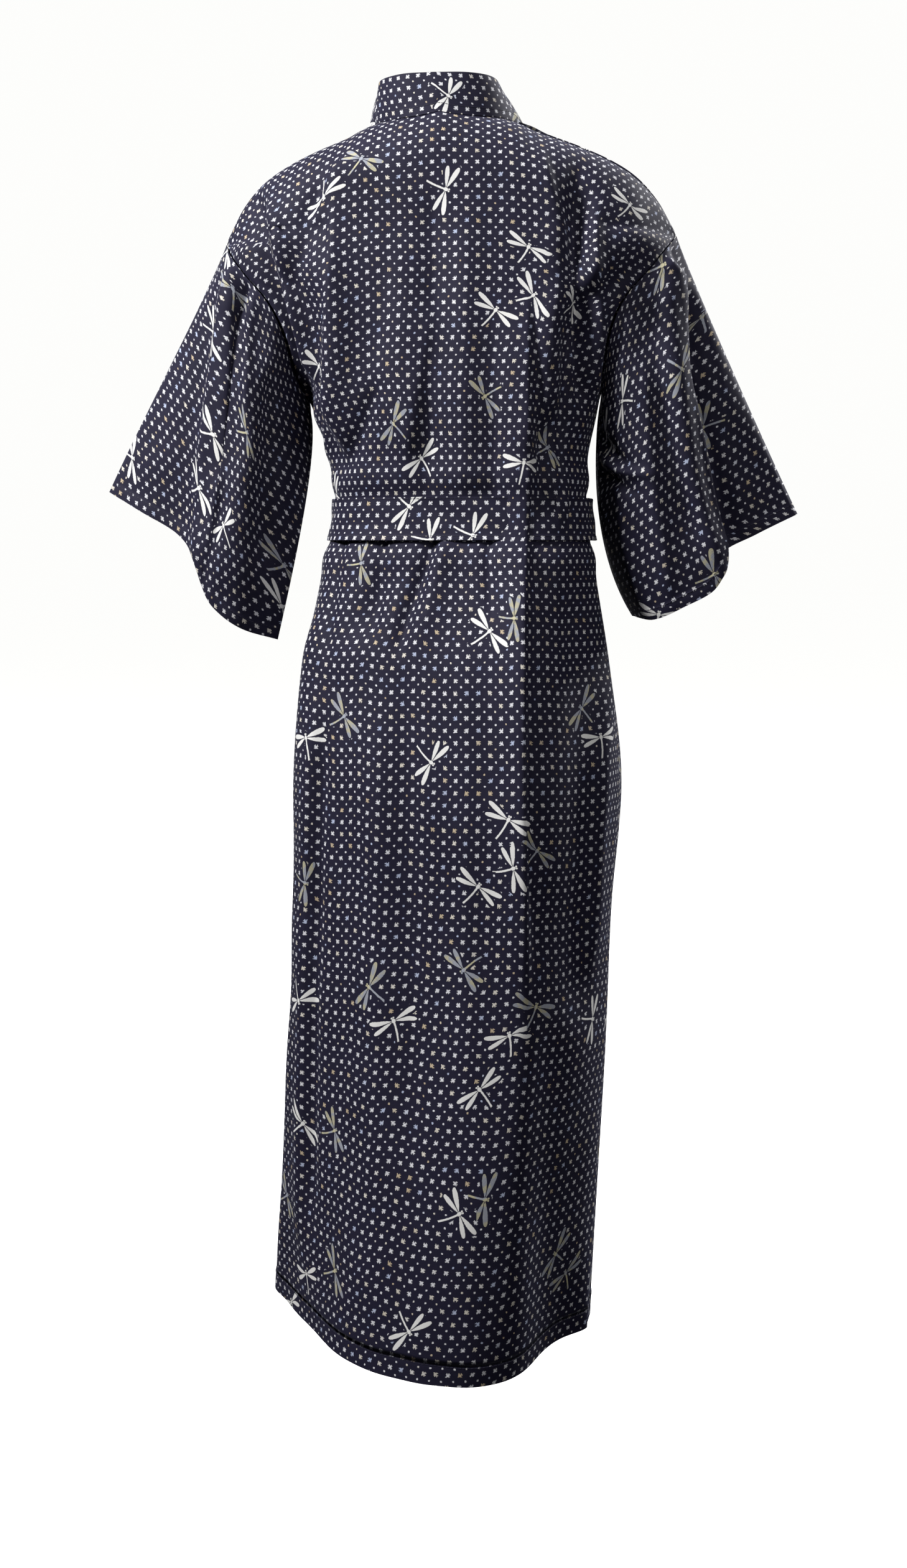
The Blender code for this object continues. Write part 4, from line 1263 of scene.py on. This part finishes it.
def noise(vector, scale, detail, output="Fac"):
    made = node("ShaderNodeTexNoise", vector)
    fill(made, {"Scale": scale, "Detail": detail})
    return Value(made.outputs[output])


def blend(factor, a, b, tree):
    """A mix of two colours, through the colour inputs of a Mix node."""
    made = node("ShaderNodeMix", tree=tree, data_type="RGBA")
    for index, value in ((0, factor), (6, a), (7, b)):
        put(made.inputs[index], value)
    return Value(made.outputs[2])


def wing(forward, sideways, angle, length, width):
    """Signed depth inside one leaf-shaped wing, in centimetres."""
    way = math.radians(angle)
    ahead = forward * math.cos(way) + sideways * math.sin(way)
    beside = sideways * math.cos(way) - forward * math.sin(way)
    share = math_node("MULTIPLY_ADD", ahead, 1 / length, -0.09, clamp=True)
    belly = math_node("POWER", share, 0.85) * math_node("POWER", 1.0 - share, 0.42) * (width * 1.75)
    past = high(ahead - length * 1.09, length * 0.09 - ahead)
    return belly - abs(beside) - high(past, 0.0)


def print_group():
    """The cloth's print: small well-frame marks in rows, dots between them, and dragonflies."""
    group = bpy.data.node_groups.new("kimono_print", "ShaderNodeTree")
    for name, kind in (("Colour", "Color"), ("Mark", "Float"), ("Weave", "Float")):
        group.interface.new_socket(name=name, in_out="OUTPUT", socket_type="NodeSocket" + kind)
    place = Value(node("ShaderNodeUVMap", tree=group, uv_map=CLOTH_MAP).outputs[0])
    x, y = [each * 1000.0 for each in split(place)[:2]]
    flat = join(x, y)
    drift_x, drift_y = [(each - 0.5) * DYE_DRIFT for each in split(noise(flat, 0.42, 1.0, "Color"))[:2]]
    cell_x, cell_y = (x + drift_x) / MARK_ACROSS, (y + drift_y) / MARK_DOWN

    def cell(shift):
        """The place in a cell of the marks, or of the dots half a cell on, and its random values."""
        sx, sy = cell_x + shift, cell_y + shift
        corner = join(math_node("FLOOR", sx), math_node("FLOOR", sy), 3.0 + shift)
        drawn = node("ShaderNodeTexWhiteNoise", corner, noise_dimensions="3D")
        r, g, b = split(Value(drawn.outputs["Color"]))
        in_x = (math_node("FRACT", sx) - 0.5) * MARK_ACROSS + (r - 0.5) * MARK_JITTER
        in_y = (math_node("FRACT", sy) - 0.5) * MARK_DOWN + (g - 0.5) * MARK_JITTER
        return in_x, in_y, Value(drawn.outputs["Value"]), r, g, b

    def strokes(side, run, wobble):
        """Depth inside two parallel strokes, one on each side of the middle."""
        return low(MARK_STROKE / 2 - abs(abs(side) - MARK_OPEN), MARK_REACH - abs(run - wobble))

    fx, fy, chance, r, g, b = cell(0.0)
    px = fx - fy * ((b - 0.42) * 0.42)
    py = fy + fx * ((r - 0.5) * 0.22)
    frame_mark = high(strokes(px, py, (g - 0.5) * 1.0), strokes(py, px, (chance - 0.5) * 1.2))
    frame_mark = high(frame_mark, g * 0.55 + 0.75 - length_of(px, py))
    ox, oy, dot_chance, r, _, _ = cell(0.5)
    oval = length_of(ox * (r * 0.3 + 0.86), oy)
    dot = DOT_RADIUS - (oval * 0.55 + high(abs(ox), abs(oy)) * 0.55)
    small = soft(high(frame_mark, dot), 0.45)
    is_frame = math_node("GREATER_THAN", frame_mark, dot)
    pick = is_frame * chance + (1.0 - is_frame) * dot_chance
    tint = blend(soft(pick - 0.80, 0.12), MARK_WHITE, MARK_CREAM, group)
    tint = blend(soft(pick - 0.955, 0.02), tint, MARK_GOLD, group)
    tint = blend(soft(0.07 - pick, 0.04), tint, MARK_BLUE, group)
    strength = math_node("MULTIPLY_ADD", noise(flat, 0.9, 2.0), 0.5, 0.68, clamp=True)

    fly = Value(node("ShaderNodeAttribute", tree=group, attribute_name=FLY_MAP).outputs["Vector"])
    forward, sideways, tone = split(fly)
    forward = forward + drift_x * 0.05
    sideways = sideways + drift_y * 0.05
    half = abs(sideways)
    wings = high(wing(forward, half, *FORE_WING), wing(forward, half, *HIND_WING))
    tail_edge = 0.10 - abs(sideways - forward * forward * 0.055)
    tail = low(tail_edge, low(forward + 2.35, -0.20 - forward))
    chest = 0.21 - length_of(forward * 0.8, sideways)
    eyes = 0.10 - length_of(forward - 0.36, half - 0.11)
    shape = high(high(wings, tail), high(chest, eyes))
    flying = math_node("GREATER_THAN", tone, 0.5)
    insect = soft(shape, 0.05) * flying
    clear = soft(shape + FLY_CLEAR, 0.04) * flying
    rib = math_node("SINE", (forward + half * 0.6) * 46.0)
    veined = soft(wings - 0.04, 0.08) * soft(rib - 0.30, 0.9)
    silver = math_node("GREATER_THAN", tone, 1.5)
    pearl = blend(soft(noise(flat, 0.11, 1.0) - 0.52, 0.12), FLY_SILVER, FLY_PEARL, group)
    body = blend(silver, FLY_WHITE, pearl, group)
    body = blend(veined * math_node("MULTIPLY_ADD", silver, 0.55, 0.10), body, FLY_VEIN, group)

    speck = small * (1.0 - clear) * strength
    ground = blend(noise(flat, 0.013, 3.0), GROUND_DARK, GROUND_LIGHT, group)
    threads = [noise(join(x * a, y * b), 0.8, 1.0) for a, b in ((0.10, 2.6), (2.6, 0.10))]
    weave = (threads[0] + threads[1]) * 0.5
    ground = blend(math_node("MULTIPLY_ADD", weave, 0.9, -0.2), ground, GROUND_THREAD, group)
    colour = blend(insect, blend(speck, ground, tint, group), body, group)
    out = node("NodeGroupOutput", tree=group)
    fill(out, {"Colour": colour, "Mark": high(speck, insect), "Weave": weave})
    return group


def plain_look(name, looks):
    """A material with the given values of its shader."""
    material = bpy.data.materials.new(name)
    material.use_nodes = True
    fill(material.node_tree.nodes["Principled BSDF"], looks)
    return material


def cloth_look(name, group, strength, sheen):
    """Plain-weave cotton with the print. strength is how much of the print's contrast shows."""
    looks = {"Specular IOR Level": 0.24, "Sheen Roughness": 0.38, "Sheen Tint": SHEEN_TINT}
    material = plain_look(name, {**looks, "Sheen Weight": sheen})
    tree = material.node_tree
    pattern = node("ShaderNodeGroup", tree=tree, node_tree=group)
    colour, mark, weave = [Value(pattern.outputs[each]) for each in ("Colour", "Mark", "Weave")]
    if strength < 1:
        colour = blend(1 - strength, colour, REVERSE_COLOUR, tree)
    bump = node("ShaderNodeBump", tree=tree)
    fill(bump, {"Strength": 0.35, "Distance": 0.0004, "Height": weave + mark * 0.25})
    fill(tree.nodes["Principled BSDF"], {
        "Base Color": colour,
        "Roughness": math_node("MULTIPLY_ADD", weave, 0.16, 0.66),
        "Normal": Value(bump.outputs[0]),
    })
    return material


def make_stage():
    """A pale floor and room, seen but without light on the robe, and the lamps."""
    bpy.ops.mesh.primitive_plane_add(size=FLOOR_SIZE, location=(0, 0, FLOOR_Z))
    floor = bpy.context.object
    floor.name = "floor"
    floor.data.materials.append(plain_look("pale_floor", {
        "Base Color": FLOOR_COLOUR,
        "Roughness": 0.95,
        "Specular IOR Level": 0.0,
        "Emission Color": ROOM_WHITE,
        "Emission Strength": FLOOR_GLOW,
    }))
    floor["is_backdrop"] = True
    floor.visible_diffuse = False
    floor.visible_glossy = False
    world = bpy.data.worlds.new("studio")
    world.use_nodes = True
    fill(world.node_tree.nodes["Background"], {"Color": ROOM_WHITE, "Strength": 1.0})
    world.cycles_visibility.diffuse = False
    world.cycles_visibility.glossy = False
    bpy.context.scene.world = world
    bpy.context.scene.view_settings.view_transform = "Standard"
    for lamp in LAMPS:
        light = bpy.data.lights.new(lamp.name, "AREA")
        light.shape = "RECTANGLE"
        light.size = light.size_y = lamp.size
        light.energy = lamp.power
        made = bpy.data.objects.new(lamp.name, light)
        made.location = lamp.place
        way = Vector(lamp.target) - Vector(lamp.place)
        made.rotation_euler = way.to_track_quat("-Z", "Y").to_euler()
        bpy.context.scene.collection.objects.link(made)


def make_camera():
    """The photograph's camera: level, behind the robe and a little to the wearer's right."""
    yaw = math.radians(CAMERA_YAW)
    camera = bpy.data.cameras.new("camera")
    camera.sensor_fit = "AUTO"
    camera.sensor_width = SENSOR
    camera.lens = CAMERA_FOCAL / FRAME_LONG * SENSOR
    camera.shift_x = CAMERA_SHIFT_X
    camera.shift_y = CAMERA_SHIFT_Y
    camera.clip_end = 100.0
    eye = bpy.data.objects.new("camera", camera)
    eye.location = (-math.sin(yaw) * CAMERA_AWAY, math.cos(yaw) * CAMERA_AWAY, CAMERA_HEIGHT)
    eye.rotation_euler = (math.radians(90), 0, math.radians(180) + yaw)
    bpy.context.scene.collection.objects.link(eye)
    bpy.context.scene.camera = eye


cotton_print = print_group()
printed = cloth_look("printed_cotton", cotton_print, 1.0, 0.07)
reverse = cloth_look("printed_cotton_reverse", cotton_print, 0.55, 0.04)
thread = plain_look("sewing_thread", {"Base Color": THREAD_COLOUR, "Roughness": 0.6})
make_back()
make_front(1, "front_left")
make_front(-1, "front_right")
make_overlap(1, "overlap_left")
make_overlap(-1, "overlap_right")
make_sleeve(1, "sleeve_left", CUFF_LEFT, INNER_LEAN_LEFT, PRINT_TURN_LEFT)
make_sleeve(-1, "sleeve_right", CUFF_RIGHT, INNER_LEAN_RIGHT, PRINT_TURN_RIGHT)
make_neckband()
make_belt()
make_knot()
for number, belt_end in enumerate(BELT_ENDS):
    make_belt_end(belt_end, number)
make_stage()
make_camera()
bpy.context.view_layer.update()
{"frame": plain(frame_bounds), "made": plain(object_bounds())}
